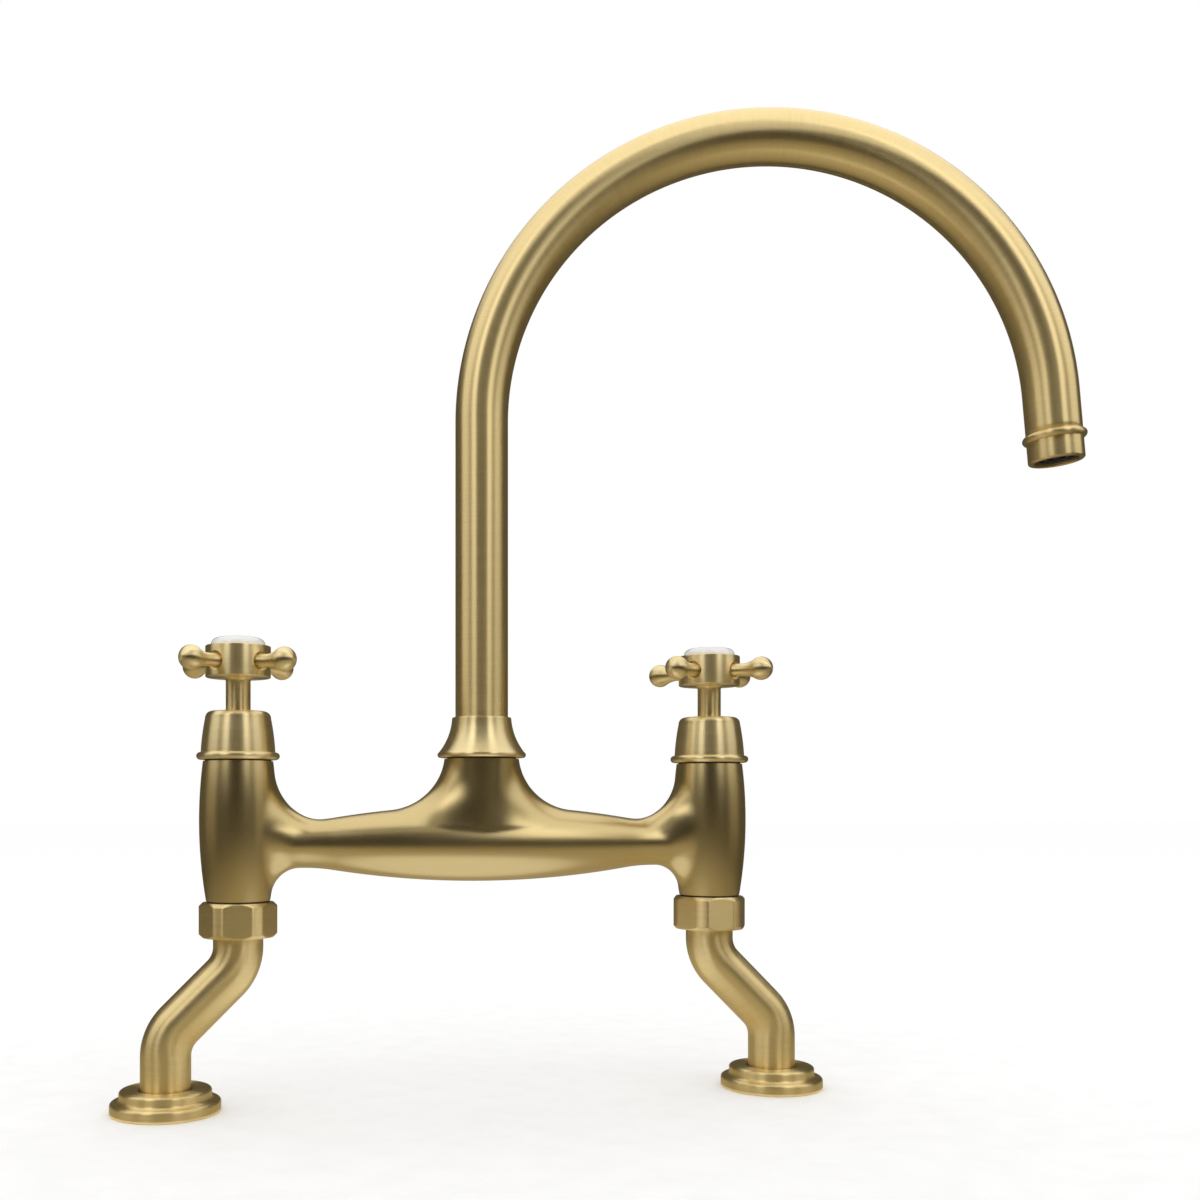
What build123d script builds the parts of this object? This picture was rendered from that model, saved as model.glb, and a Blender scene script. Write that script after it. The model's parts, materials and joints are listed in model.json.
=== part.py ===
"""Two-hole bridge mixer tap for a kitchen sink, as an assembly of turned and cast pieces.

A cast bridge joins a hot and a cold pillar to a centre boss. Each pillar holds a
quarter-turn ceramic valve under a bonnet and a cross handle, and stands on a cranked
leg held by a hexagon union nut. A swan-neck spout turns in the boss.
Millimetres, +Z up, +X along the bridge to the cold side, -Y to the front.
The origin is on the deck, midway between the two legs.
"""

import os
from math import asin, atan, cos, pi, radians, sin

from build123d import *

os.makedirs("parts", exist_ok=True)

# Layout
PILLAR_SPACING = 200.0  # between the two pillar axes
LEG_CRANK = 28.5  # how far each leg steps outwards
SPOUT_SWING = 12.0  # degrees from the bridge towards the front, at rest
HANDLE_ANGLE = {"hot": 45.0, "cold": 38.0}  # degrees from the bridge, at rest

# Clearances
SNUG = 0.05  # pieces that screw, press or plug together
RUNNING = 0.05  # radial play of a turning shaft
FREE = 0.3  # radial play of a turning piece that nothing guides
SHIM = 0.02  # play between the two lapped discs

# Deck flange
FLANGE_R = 21.8
FLANGE_STEP_R = 18.2
FLANGE_STEP_H = 4.9
FLANGE_H = 9.4
FLANGE_EDGE = 1.3
FLANGE_COVE = 1.4  # hollow where the upper step meets the lower
FLANGE_BORE_PLAY = 0.7
FLANGE_RING_R = 1.0  # section radius of the ring that grips the leg
DECK_SEAL_R = 17.4
DECK_SEAL_W = 3.4
DECK_SEAL_H = 1.5

# Leg
LEG_R = 10.0
LEG_BORE_R = 7.2
LEG_BEND_R = 18.0
LEG_BEND = 45.0  # degrees
LEG_NECK_H = 3.9  # straight tube under the nut
LEG_FOOT_H = 22.2  # straight tube above the deck
TAIL_THREAD_R = 7.475  # G 3/8 tapped bore for the fixing tail
TAIL_THREAD_H = 18.0

# Union
NUT_FLATS = 29.0
NUT_CORNER_R = 15.6  # corners are turned down to this radius
NUT_H = 14.0
NUT_LIP = 1.8
NUT_CHAMFER = 1.4
NUT_GAP = 1.2  # thread left showing under the pillar
UNION_THREAD_R = 12.0
LEG_COLLAR_R = 11.7
LEG_COLLAR_H = 2.5
UNION_WASHER_H = 2.0
INLET_R = 8.0

# Pillar and bridge casting
PILLAR_H = 55.7
PILLAR_TOP_R = 13.98
PILLAR_BELLY_R = 15.47
PILLAR_BELLY_RISE = 31.8  # above the pillar's foot
PILLAR_FOOT_R = 12.85
PILLAR_FOOT_CHAMFER = 0.6
BRIDGE_RISE = 22.1  # bridge axis above the pillar's foot
BRIDGE_BELLY_R = 15.75
BRIDGE_NECK_R = 9.7
BRIDGE_BELLY_ARC = 380.0
NECK_REACH = 30.0  # from the pillar axis to the slimmest section
HAUNCH_RISE = 19.0  # how far the neck's upper edge climbs inside the pillar
HAUNCH_EASE = 1.4  # above 1 the climb starts slowly
HAUNCH_SPREAD = 1.0
HAUNCH_DEPTH = 8.0  # how near the neck runs to the pillar axis
HAUNCH_SECTIONS = 5
PILLAR_BLEND = 9.0
BLEND_MARGIN = 2.0  # how far outside the pillar the blended edge may lie
BOSS_TOP_RISE = 35.1  # boss top above the bridge axis
BOSS_TOP_R = 15.4
BOSS_ROOT_R = 13.6
BOSS_BLEND = 24.0
BOSS_CHAMFER = 0.5
WATERWAY_R = 4.5
SEAT_R = 6.0
SEAT_DROP = 7.7  # valve seat below the bridge axis
SEAT_LAND = 6.0

# Valve cartridge
VALVE_THREAD_R = 10.5
VALVE_THREAD_H = 13.5
CARTRIDGE_R = 9.2
CARTRIDGE_WALL = 1.2
CHAMBER_R = 9.4
SEAT_SEAL_H = 2.4
SEAT_SEAL_BORE_R = 5.6
SEAT_SEAL_PLAY = 0.6
DISC_H = 3.0
DISC_PORT_R = 2.4
DISC_PORT_REACH = 4.4
DISC_LUG_W = 2.2
DISC_LUG_H = 1.5
DRIVE_PLATE_H = 3.0
DRIVE_PLATE_PLAY = 0.4
CHAMBER_HEADROOM = 2.0
WINDOW_W = 8.0
WINDOW_H = 6.5
VALVE_HEX_FLATS = 21.0
VALVE_HEX_H = 6.0
VALVE_NECK_R = 9.0
SPINDLE_R = 4.0
SPINDLE_RING_R = 0.5
SPINDLE_RING_DROP = 8.0  # ring below the top of the cartridge
SQUARE = 5.0
SQUARE_H = 20.5
CLIP_H = 0.8
CLIP_R = 4.7
CLIP_GROOVE = 0.8

# Bonnet
BONNET_H = 20.1
BONNET_TOP_R = 13.1
BONNET_FOOT_R = 14.85
BONNET_EDGE = 2.7
BONNET_BULGE = 0.25
BONNET_BEAD = 1.75
BONNET_ROOF = 3.6
BONNET_CAVITY_R = 12.6
BONNET_CAVITY_H = 9.5

# Cross handle
NECK_R = 4.95
NECK_SHOWN = 13.6
NECK_FILLET = 1.6
NECK_END_PLAY = 0.4
HUB_R = 13.05
HUB_H = 12.7
HUB_EDGE = 0.5
HUB_WEB = 1.8  # metal under the screw head
SCREW_R = 1.5
SCREW_LENGTH = 12.0
SCREW_HEAD_R = 2.8
SCREW_HEAD_H = 2.2
SCREW_SOCKET = 2.5
INDEX_R = 10.8
INDEX_PROUD = 3.8
INDEX_SEAT = 3.4
INDEX_EDGE = 2.6
INDEX_CROWN = 0.55
ARM_COUNT = 4
ARM_RISE = 6.0  # arm axis above the hub's underside
ARM_POCKET_R = 3.9
ARM_POCKET_FLOOR = 11.4  # from the hub's axis
ARM_STUD_R = 2.0
ARM_STUD_H = 5.0
ARM_ROOT_R = 3.15
ARM_WAIST_R = 2.65
ARM_WAIST_REACH = 16.4
BALL_R = 4.9
BALL_REACH = 25.3

# Spout
TUBE_R = 11.0
TUBE_WALL = 1.2
ARCH_R = 118.0
ARCH_SWEEP = 175.0  # degrees
RISER_H = 131.7  # straight tube up to the arch
OUTLET_RUN = 16.5  # straight tube after the arch
SOCKET_R = 10.2
SOCKET_FLOOR_RISE = 12.3  # socket floor above the bridge axis
RISER_WAY_R = 6.0
COLLAR_THREAD_R = 13.25
COLLAR_THREAD_H = 4.0
COLLAR_H = 17.3
COLLAR_TOP_R = 12.4
COLLAR_WAIST_R = 14.3
COLLAR_WAIST_RISE = 8.8
COLLAR_FLARE_R = 18.0
COLLAR_BEAD_H = 2.9
COLLAR_BEAD_R = 18.5
COLLAR_LIP_EDGE = 0.5
SPLIT_RING_H = 2.3
SPLIT_RING_R = 12.7
SPLIT_RING_GAP = 2.5
SPLIT_RING_PLAY = 0.1
SPIGOT_BORE_R = 6.5
SPIGOT_FLOOR_PLAY = 0.6
SPIGOT_GROOVE_R = 9.0
SPIGOT_SHOULDER_H = 2.5
SPIGOT_PLUG_H = 13.0
O_RING_R = 0.95
O_RING_SQUEEZE = 0.1
O_RING_RISES = (6.7, 16.7)  # above the socket floor

# Outlet
BEAD_R = 12.5
BEAD_H = 3.4
SLEEVE_H = 8.3
SLEEVE_EDGE = 0.8
SLEEVE_PLUG_H = 8.0
SLEEVE_WALL = 2.3
SLEEVE_PLUG_WALL = 2.2
AERATOR_SEAT = 2.0
AERATOR_WASHER_H = 2.0
AERATOR_H = 6.6
AERATOR_SLOTS = 12
AERATOR_SLOT_W = 1.3
AERATOR_SLOT_L = 2.6
AERATOR_SLOT_REACH = 6.0
AERATOR_MESH_HOLES = 7
AERATOR_MESH_R = 1.0
AERATOR_MESH_REACH = 3.0
AERATOR_CUP = 1.2

# Heights of the stack, from the deck upwards
bend = radians(LEG_BEND)
leg_slope = (LEG_CRANK - 2 * LEG_BEND_R * (1 - cos(bend))) / sin(bend)
leg_bend_top = LEG_FOOT_H + 2 * LEG_BEND_R * sin(bend) + leg_slope * cos(bend)
nut_z = leg_bend_top + LEG_NECK_H
leg_collar_z = nut_z + NUT_LIP
leg_top_z = leg_collar_z + LEG_COLLAR_H
union_face_z = leg_top_z + UNION_WASHER_H
pillar_foot_z = nut_z + NUT_H + NUT_GAP
pillar_top_z = pillar_foot_z + PILLAR_H
bridge_z = pillar_foot_z + BRIDGE_RISE
boss_top_z = bridge_z + BOSS_TOP_RISE
seat_z = bridge_z - SEAT_DROP
disc_z = seat_z + SEAT_SEAL_H
driven_z = disc_z + DISC_H + SHIM
plate_z = driven_z + DISC_H
chamber_top_z = plate_z + DRIVE_PLATE_H + CHAMBER_HEADROOM
valve_thread_z = pillar_top_z - VALVE_THREAD_H
bonnet_top_z = pillar_top_z + BONNET_H
bonnet_roof_z = bonnet_top_z - BONNET_ROOF
cartridge_top_z = bonnet_roof_z - SNUG
clip_z = cartridge_top_z + SNUG
square_z = clip_z + CLIP_H + SNUG
square_top_z = square_z + SQUARE_H
neck_end_z = square_z + NECK_END_PLAY
hub_z = bonnet_top_z + NECK_SHOWN
hub_top_z = hub_z + HUB_H
arm_z = hub_z + ARM_RISE
screw_seat_z = square_top_z + HUB_WEB
index_z = hub_top_z - INDEX_SEAT
index_top_z = hub_top_z + INDEX_PROUD
socket_floor_z = bridge_z + SOCKET_FLOOR_RISE
neck_top_z = boss_top_z + COLLAR_THREAD_H
ring_top_z = neck_top_z + SPLIT_RING_H + 2 * SPLIT_RING_PLAY
tube_z = ring_top_z + SPIGOT_SHOULDER_H
arch_z = tube_z + RISER_H

half = PILLAR_SPACING / 2
tube_bore_r = TUBE_R - TUBE_WALL
plug_r = tube_bore_r - SNUG
disc_r = CARTRIDGE_R - CARTRIDGE_WALL - SNUG
plate_r = CARTRIDGE_R - CARTRIDGE_WALL - DRIVE_PLATE_PLAY
sides = {"hot": -1, "cold": 1}
upright = Plane.XZ
bridge_plane = Plane(origin=(0, 0, bridge_z), x_dir=(1, 0, 0), z_dir=(0, -1, 0))

# Bridge casting: the slim neck swells to a belly in the middle. Its outline is drawn
# below the axis, so that the turned surface is unbroken where the boss stands on it.
neck_x = half - NECK_REACH
swell = 2 * atan((BRIDGE_BELLY_R - BRIDGE_NECK_R) / neck_x)
belly_x = BRIDGE_BELLY_ARC * sin(swell)
belly_y = BRIDGE_BELLY_R - BRIDGE_BELLY_ARC * (1 - cos(swell))

with BuildPart() as bridge_middle:
    with BuildSketch(bridge_plane):
        with BuildLine():
            belly = ThreePointArc((-belly_x, -belly_y), (0, -BRIDGE_BELLY_R), (belly_x, -belly_y))
            TangentArc((belly_x, -belly_y), (neck_x, -BRIDGE_NECK_R), tangent=belly % 1)
            TangentArc((-belly_x, -belly_y), (-neck_x, -BRIDGE_NECK_R), tangent=-(belly % 0))
            Polyline(
                (neck_x, -BRIDGE_NECK_R), (neck_x, 0), (-neck_x, 0), (-neck_x, -BRIDGE_NECK_R)
            )
        make_face()
    revolve(axis=Axis((0, 0, bridge_z), (1, 0, 0)))
    # The boss is drawn taller than it is, so that its wide blend has room, and cut after.
    boss_taper = (BOSS_TOP_R - BOSS_ROOT_R) / BOSS_TOP_RISE
    with BuildSketch(upright):
        with BuildLine():
            Polyline(
                (0, bridge_z),
                (BOSS_ROOT_R, bridge_z),
                (BOSS_TOP_R + boss_taper * BOSS_BLEND, boss_top_z + BOSS_BLEND),
                (0, boss_top_z + BOSS_BLEND),
                close=True,
            )
        make_face()
    revolve(axis=Axis.Z)
    fillet(bridge_middle.edges().filter_by(GeomType.BSPLINE), radius=BOSS_BLEND)
    split(bisect_by=Plane.XY.offset(boss_top_z), keep=Keep.BOTTOM)
    chamfer(bridge_middle.edges().group_by(Axis.Z)[-1], length=BOSS_CHAMFER)

# One pillar, with the neck's haunch blended into it
with BuildPart() as pillar:
    with BuildSketch(Plane(origin=(half, 0, 0), x_dir=(1, 0, 0), z_dir=(0, -1, 0))):
        with BuildLine():
            ThreePointArc(
                (PILLAR_TOP_R, pillar_top_z),
                (PILLAR_BELLY_R, pillar_foot_z + PILLAR_BELLY_RISE),
                (PILLAR_FOOT_R, pillar_foot_z + PILLAR_FOOT_CHAMFER),
            )
            Polyline(
                (PILLAR_FOOT_R, pillar_foot_z + PILLAR_FOOT_CHAMFER),
                (PILLAR_FOOT_R - PILLAR_FOOT_CHAMFER, pillar_foot_z),
                (0, pillar_foot_z),
                (0, pillar_top_z),
                (PILLAR_TOP_R, pillar_top_z),
            )
        make_face()
    revolve(axis=Axis((half, 0, 0), (0, 0, 1)))
    for section in range(HAUNCH_SECTIONS):
        run = section / (HAUNCH_SECTIONS - 1)
        climb = HAUNCH_RISE * run**HAUNCH_EASE
        reach = NECK_REACH - (NECK_REACH - HAUNCH_DEPTH) * run
        middle = (half - reach, 0, bridge_z + climb / 2)
        with BuildSketch(Plane(origin=middle, x_dir=(0, 1, 0), z_dir=(1, 0, 0))):
            Ellipse(BRIDGE_NECK_R + HAUNCH_SPREAD * run, BRIDGE_NECK_R + climb / 2)
    loft()
    meeting = pillar.edges().filter_by(GeomType.BSPLINE)
    pillar_side = half - PILLAR_BELLY_R - BLEND_MARGIN
    fillet(meeting.filter_by(lambda e: e.bounding_box().min.X > pillar_side), radius=PILLAR_BLEND)

with BuildPart() as bridge_body:
    add(bridge_middle.part)
    add(pillar.part)
    mirror(pillar.part, about=Plane.YZ)
    for sign in sides.values():
        valve_plane = Plane(origin=(sign * half, 0, 0), x_dir=(1, 0, 0), z_dir=(0, -1, 0))
        valve_axis = Axis((sign * half, 0, 0), (0, 0, 1))
        # Threaded spigot for the union nut
        with BuildSketch(valve_plane):
            with BuildLine():
                Polyline(
                    (0, union_face_z),
                    (UNION_THREAD_R, union_face_z),
                    (UNION_THREAD_R, pillar_foot_z + PILLAR_FOOT_CHAMFER),
                    (0, pillar_foot_z + PILLAR_FOOT_CHAMFER),
                    close=True,
                )
            make_face()
        revolve(axis=valve_axis)
        # Inlet, seat and valve chamber, bored from below and from above
        with BuildSketch(valve_plane):
            with BuildLine():
                Polyline(
                    (0, union_face_z),
                    (INLET_R, union_face_z),
                    (INLET_R, seat_z - SEAT_LAND),
                    (SEAT_R, seat_z - SEAT_LAND),
                    (SEAT_R, seat_z),
                    (CHAMBER_R, seat_z),
                    (CHAMBER_R, valve_thread_z),
                    (VALVE_THREAD_R, valve_thread_z),
                    (VALVE_THREAD_R, pillar_top_z),
                    (0, pillar_top_z),
                    close=True,
                )
            make_face()
        revolve(axis=valve_axis, mode=Mode.SUBTRACT)
    # Neck for the spout collar, then the spout socket and the waterways
    with BuildSketch(Plane.XY.offset(boss_top_z)):
        Circle(COLLAR_THREAD_R)
    extrude(amount=COLLAR_THREAD_H)
    with BuildSketch(upright):
        with BuildLine():
            Polyline(
                (0, bridge_z),
                (RISER_WAY_R, bridge_z),
                (RISER_WAY_R, socket_floor_z),
                (SOCKET_R, socket_floor_z),
                (SOCKET_R, neck_top_z),
                (0, neck_top_z),
                close=True,
            )
        make_face()
    revolve(axis=Axis.Z, mode=Mode.SUBTRACT)
    with BuildSketch(Plane(origin=(-half, 0, bridge_z), z_dir=(1, 0, 0))):
        Circle(WATERWAY_R)
    extrude(amount=PILLAR_SPACING, mode=Mode.SUBTRACT)

bridge_body.part.label = "bridge_body"
export_step(bridge_body.part, "parts/bridge_body.step")

# One baluster arm, turned about +X from the handle's centre: a stud for the hub, a
# waist, and a ball that the waist's flare meets without a break.
flare_r = ((BALL_REACH - ARM_WAIST_REACH) ** 2 + ARM_WAIST_R**2 - BALL_R**2) / (
    2 * (BALL_R - ARM_WAIST_R)
)
ball_lean = asin((BALL_REACH - ARM_WAIST_REACH) / (flare_r + BALL_R))
flare_end = (BALL_REACH - BALL_R * sin(ball_lean), BALL_R * cos(ball_lean))

with BuildPart() as arm:
    with BuildSketch(upright):
        with BuildLine():
            Polyline(
                (BALL_REACH + BALL_R, 0),
                (ARM_POCKET_FLOOR - ARM_STUD_H, 0),
                (ARM_POCKET_FLOOR - ARM_STUD_H, ARM_STUD_R),
                (ARM_POCKET_FLOOR, ARM_STUD_R),
                (ARM_POCKET_FLOOR, ARM_ROOT_R),
            )
            TangentArc(
                (ARM_WAIST_REACH, ARM_WAIST_R), (ARM_POCKET_FLOOR, ARM_ROOT_R), tangent=(-1, 0)
            )
            TangentArc((ARM_WAIST_REACH, ARM_WAIST_R), flare_end, tangent=(1, 0))
            ThreePointArc(
                flare_end,
                (BALL_REACH + BALL_R * cos(pi / 4), BALL_R * sin(pi / 4)),
                (BALL_REACH + BALL_R, 0),
            )
        make_face()
    revolve(axis=Axis.X)

for side, sign in sides.items():
    x = sign * half
    foot_x = sign * (half + LEG_CRANK)
    section = Plane(origin=(x, 0, 0), x_dir=(1, 0, 0), z_dir=(0, -1, 0))
    axis = Axis((x, 0, 0), (0, 0, 1))
    foot_section = Plane(origin=(foot_x, 0, 0), x_dir=(1, 0, 0), z_dir=(0, -1, 0))
    foot_axis = Axis((foot_x, 0, 0), (0, 0, 1))
    outward = Plane(origin=(x, 0, 0), x_dir=(sign, 0, 0), z_dir=(0, -sign, 0))

    # Cranked leg, flanged at the top for the union and tapped at the foot
    with BuildPart() as leg:
        with BuildLine(outward) as route:
            Line((0, leg_top_z), (0, leg_bend_top))
            upper = JernArc((0, leg_bend_top), (0, -1), LEG_BEND_R, LEG_BEND)
            slope_end = upper @ 1 + leg_slope * (upper % 1)
            Line(upper @ 1, slope_end)
            lower = JernArc(slope_end, upper % 1, LEG_BEND_R, -LEG_BEND)
            Line(lower @ 1, (LEG_CRANK, 0))
        with BuildSketch(Plane(origin=(x, 0, leg_top_z), z_dir=(0, 0, -1))):
            Circle(LEG_R)
        sweep(path=route.wire())
        with BuildSketch(Plane.XY.offset(leg_collar_z)):
            with Locations((x, 0)):
                Circle(LEG_COLLAR_R)
        extrude(amount=LEG_COLLAR_H)
        with BuildSketch(Plane(origin=(x, 0, leg_top_z), z_dir=(0, 0, -1))):
            Circle(LEG_BORE_R)
        sweep(path=route.wire(), mode=Mode.SUBTRACT)
        with BuildSketch(Plane.XY):
            with Locations((foot_x, 0)):
                Circle(TAIL_THREAD_R)
        extrude(amount=TAIL_THREAD_H, mode=Mode.SUBTRACT)
    leg.part.label = f"{side}_leg"
    export_step(leg.part, f"parts/{side}_leg.step")

    # Two-step deck flange with rounded edges, a groove for its grip ring and one for its seal
    flange_bore = LEG_R + FLANGE_BORE_PLAY
    ring_z = FLANGE_STEP_H
    with BuildPart() as flange:
        with BuildSketch(foot_section):
            with BuildLine():
                Polyline(
                    (flange_bore, 0),
                    (FLANGE_R, 0),
                    (FLANGE_R, FLANGE_STEP_H - FLANGE_EDGE),
                )
                RadiusArc(
                    (FLANGE_R, FLANGE_STEP_H - FLANGE_EDGE),
                    (FLANGE_R - FLANGE_EDGE, FLANGE_STEP_H),
                    -FLANGE_EDGE,
                )
                Polyline(
                    (FLANGE_R - FLANGE_EDGE, FLANGE_STEP_H),
                    (FLANGE_STEP_R + FLANGE_COVE, FLANGE_STEP_H),
                )
                RadiusArc(
                    (FLANGE_STEP_R + FLANGE_COVE, FLANGE_STEP_H),
                    (FLANGE_STEP_R, FLANGE_STEP_H + FLANGE_COVE),
                    FLANGE_COVE,
                )
                Polyline(
                    (FLANGE_STEP_R, FLANGE_STEP_H + FLANGE_COVE),
                    (FLANGE_STEP_R, FLANGE_H - FLANGE_EDGE),
                )
                RadiusArc(
                    (FLANGE_STEP_R, FLANGE_H - FLANGE_EDGE),
                    (FLANGE_STEP_R - FLANGE_EDGE, FLANGE_H),
                    -FLANGE_EDGE,
                )
                Polyline(
                    (FLANGE_STEP_R - FLANGE_EDGE, FLANGE_H), (flange_bore, FLANGE_H), (flange_bore, 0)
                )
            make_face()
        revolve(axis=foot_axis)
        groove_h = 2 * (FLANGE_RING_R + SNUG)
        groove_r = LEG_R + 2 * FLANGE_RING_R + 2 * SNUG
        with BuildSketch(Plane.XY.offset(ring_z - groove_h / 2)):
            with Locations((foot_x, 0)):
                Circle(groove_r)
        extrude(amount=groove_h, mode=Mode.SUBTRACT)
        with BuildSketch(Plane.XY):
            with Locations((foot_x, 0)):
                Circle(DECK_SEAL_R + SNUG)
                Circle(DECK_SEAL_R - DECK_SEAL_W - SNUG, mode=Mode.SUBTRACT)
        extrude(amount=DECK_SEAL_H + SNUG, mode=Mode.SUBTRACT)
    flange.part.label = f"{side}_flange"
    export_step(flange.part, f"parts/{side}_flange.step")

    with BuildPart() as flange_ring:
        with BuildSketch(foot_section):
            with Locations((LEG_R + FLANGE_RING_R + SNUG, ring_z)):
                Circle(FLANGE_RING_R)
        revolve(axis=foot_axis)
    flange_ring.part.label = f"{side}_flange_ring"
    export_step(flange_ring.part, f"parts/{side}_flange_ring.step")

    with BuildPart() as deck_seal:
        with BuildSketch(Plane.XY):
            with Locations((foot_x, 0)):
                Circle(DECK_SEAL_R)
                Circle(DECK_SEAL_R - DECK_SEAL_W, mode=Mode.SUBTRACT)
        extrude(amount=DECK_SEAL_H)
    deck_seal.part.label = f"{side}_deck_seal"
    export_step(deck_seal.part, f"parts/{side}_deck_seal.step")

    # Union nut: a hexagon with its corners turned down and its ends chamfered
    with BuildPart() as union_nut:
        with BuildSketch(Plane.XY.offset(nut_z)):
            with Locations((x, 0)):
                RegularPolygon(NUT_FLATS / 2, 6, major_radius=False)
        extrude(amount=NUT_H)
        with BuildSketch(section):
            with BuildLine():
                Polyline(
                    (0, nut_z),
                    (NUT_CORNER_R - NUT_CHAMFER, nut_z),
                    (NUT_CORNER_R, nut_z + NUT_CHAMFER),
                    (NUT_CORNER_R, nut_z + NUT_H - NUT_CHAMFER),
                    (NUT_CORNER_R - NUT_CHAMFER, nut_z + NUT_H),
                    (0, nut_z + NUT_H),
                    close=True,
                )
            make_face()
        revolve(axis=axis, mode=Mode.INTERSECT)
        with BuildSketch(section):
            with BuildLine():
                Polyline(
                    (0, nut_z),
                    (LEG_R + FREE, nut_z),
                    (LEG_R + FREE, leg_collar_z),
                    (UNION_THREAD_R + SNUG, leg_collar_z),
                    (UNION_THREAD_R + SNUG, nut_z + NUT_H),
                    (0, nut_z + NUT_H),
                    close=True,
                )
            make_face()
        revolve(axis=axis, mode=Mode.SUBTRACT)
    union_nut.part.label = f"{side}_union_nut"
    export_step(union_nut.part, f"parts/{side}_union_nut.step")

    with BuildPart() as union_washer:
        with BuildSketch(Plane.XY.offset(leg_top_z)):
            with Locations((x, 0)):
                Circle(LEG_COLLAR_R)
                Circle(INLET_R, mode=Mode.SUBTRACT)
        extrude(amount=UNION_WASHER_H)
    union_washer.part.label = f"{side}_union_washer"
    export_step(union_washer.part, f"parts/{side}_union_washer.step")

    # Valve cartridge, from the seat upwards
    with BuildPart() as seat_seal:
        with BuildSketch(Plane.XY.offset(seat_z)):
            with Locations((x, 0)):
                Circle(CHAMBER_R - SEAT_SEAL_PLAY)
                Circle(SEAT_SEAL_BORE_R, mode=Mode.SUBTRACT)
        extrude(amount=SEAT_SEAL_H)
    seat_seal.part.label = f"{side}_seat_seal"
    export_step(seat_seal.part, f"parts/{side}_seat_seal.step")

    with BuildPart() as fixed_disc:
        with BuildSketch(Plane.XY.offset(disc_z)):
            with Locations((x, 0)):
                Circle(disc_r)
                with PolarLocations(DISC_PORT_REACH, 2):
                    Circle(DISC_PORT_R, mode=Mode.SUBTRACT)
        extrude(amount=DISC_H)
    fixed_disc.part.label = f"{side}_fixed_disc"
    export_step(fixed_disc.part, f"parts/{side}_fixed_disc.step")

    # Closed at rest: the ports lie a quarter turn from those of the fixed disc
    with BuildPart() as driven_disc:
        with BuildSketch(Plane.XY.offset(driven_z)):
            with Locations((x, 0)):
                Circle(plate_r)
                with PolarLocations(DISC_PORT_REACH, 2, start_angle=90):
                    Circle(DISC_PORT_R, mode=Mode.SUBTRACT)
        extrude(amount=DISC_H)
        with BuildSketch(Plane.XY.offset(plate_z)):
            with Locations((x, 0)):
                Rectangle(2 * plate_r, DISC_LUG_W + 2 * SNUG)
        extrude(amount=-DISC_LUG_H - SNUG, mode=Mode.SUBTRACT)
    driven_disc.part.label = f"{side}_driven_disc"
    export_step(driven_disc.part, f"parts/{side}_driven_disc.step")

    with BuildPart() as cartridge_body:
        with BuildSketch(section):
            with BuildLine():
                Polyline(
                    (CARTRIDGE_R - CARTRIDGE_WALL, disc_z),
                    (CARTRIDGE_R, disc_z),
                    (CARTRIDGE_R, valve_thread_z + SNUG),
                    (VALVE_THREAD_R - SNUG, valve_thread_z + SNUG),
                    (VALVE_THREAD_R - SNUG, pillar_top_z + VALVE_HEX_H),
                    (VALVE_NECK_R, pillar_top_z + VALVE_HEX_H),
                    (VALVE_NECK_R, cartridge_top_z),
                    (SPINDLE_R + RUNNING, cartridge_top_z),
                    (SPINDLE_R + RUNNING, chamber_top_z),
                    (CARTRIDGE_R - CARTRIDGE_WALL, chamber_top_z),
                    close=True,
                )
            make_face()
        revolve(axis=axis)
        with BuildSketch(Plane.XY.offset(pillar_top_z)):
            with Locations((x, 0)):
                RegularPolygon(VALVE_HEX_FLATS / 2, 6, major_radius=False)
                Circle(VALVE_THREAD_R - 2 * SNUG, mode=Mode.SUBTRACT)
        extrude(amount=VALVE_HEX_H)
        # Two outlet windows towards the waterway
        with BuildSketch(Plane.XY.offset(driven_z + SNUG)):
            with Locations((x, 0)):
                Rectangle(2 * CARTRIDGE_R + 2, WINDOW_W)
        extrude(amount=WINDOW_H, mode=Mode.SUBTRACT)
    cartridge_body.part.label = f"{side}_cartridge_body"
    export_step(cartridge_body.part, f"parts/{side}_cartridge_body.step")

    # Spindle: drive plate with a lug for the disc, grooved shaft, square for the handle
    ring_groove_r = SPINDLE_R + RUNNING - O_RING_SQUEEZE - 2 * SPINDLE_RING_R
    spindle_ring_z = cartridge_top_z - SPINDLE_RING_DROP
    with BuildPart() as spindle:
        with BuildSketch(section):
            with BuildLine():
                Polyline(
                    (0, plate_z),
                    (plate_r, plate_z),
                    (plate_r, plate_z + DRIVE_PLATE_H),
                    (SPINDLE_R, plate_z + DRIVE_PLATE_H),
                    (SPINDLE_R, spindle_ring_z - SPINDLE_RING_R - SNUG),
                    (ring_groove_r - SNUG, spindle_ring_z - SPINDLE_RING_R - SNUG),
                    (ring_groove_r - SNUG, spindle_ring_z + SPINDLE_RING_R + SNUG),
                    (SPINDLE_R, spindle_ring_z + SPINDLE_RING_R + SNUG),
                    (SPINDLE_R, cartridge_top_z),
                    (SPINDLE_R - CLIP_GROOVE, cartridge_top_z),
                    (SPINDLE_R - CLIP_GROOVE, square_z),
                    (0, square_z),
                    close=True,
                )
            make_face()
        revolve(axis=axis)
        with BuildSketch(Plane.XY.offset(plate_z)):
            with Locations((x, 0)):
                Rectangle(2 * plate_r, DISC_LUG_W)
                Circle(plate_r, mode=Mode.INTERSECT)
        extrude(amount=-DISC_LUG_H)
        with BuildSketch(Plane.XY.offset(square_z)):
            with Locations((x, 0)):
                Rectangle(SQUARE, SQUARE)
        extrude(amount=SQUARE_H)
        with BuildSketch(Plane.XY.offset(square_top_z)):
            with Locations((x, 0)):
                Circle(SCREW_R + SNUG)
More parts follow.
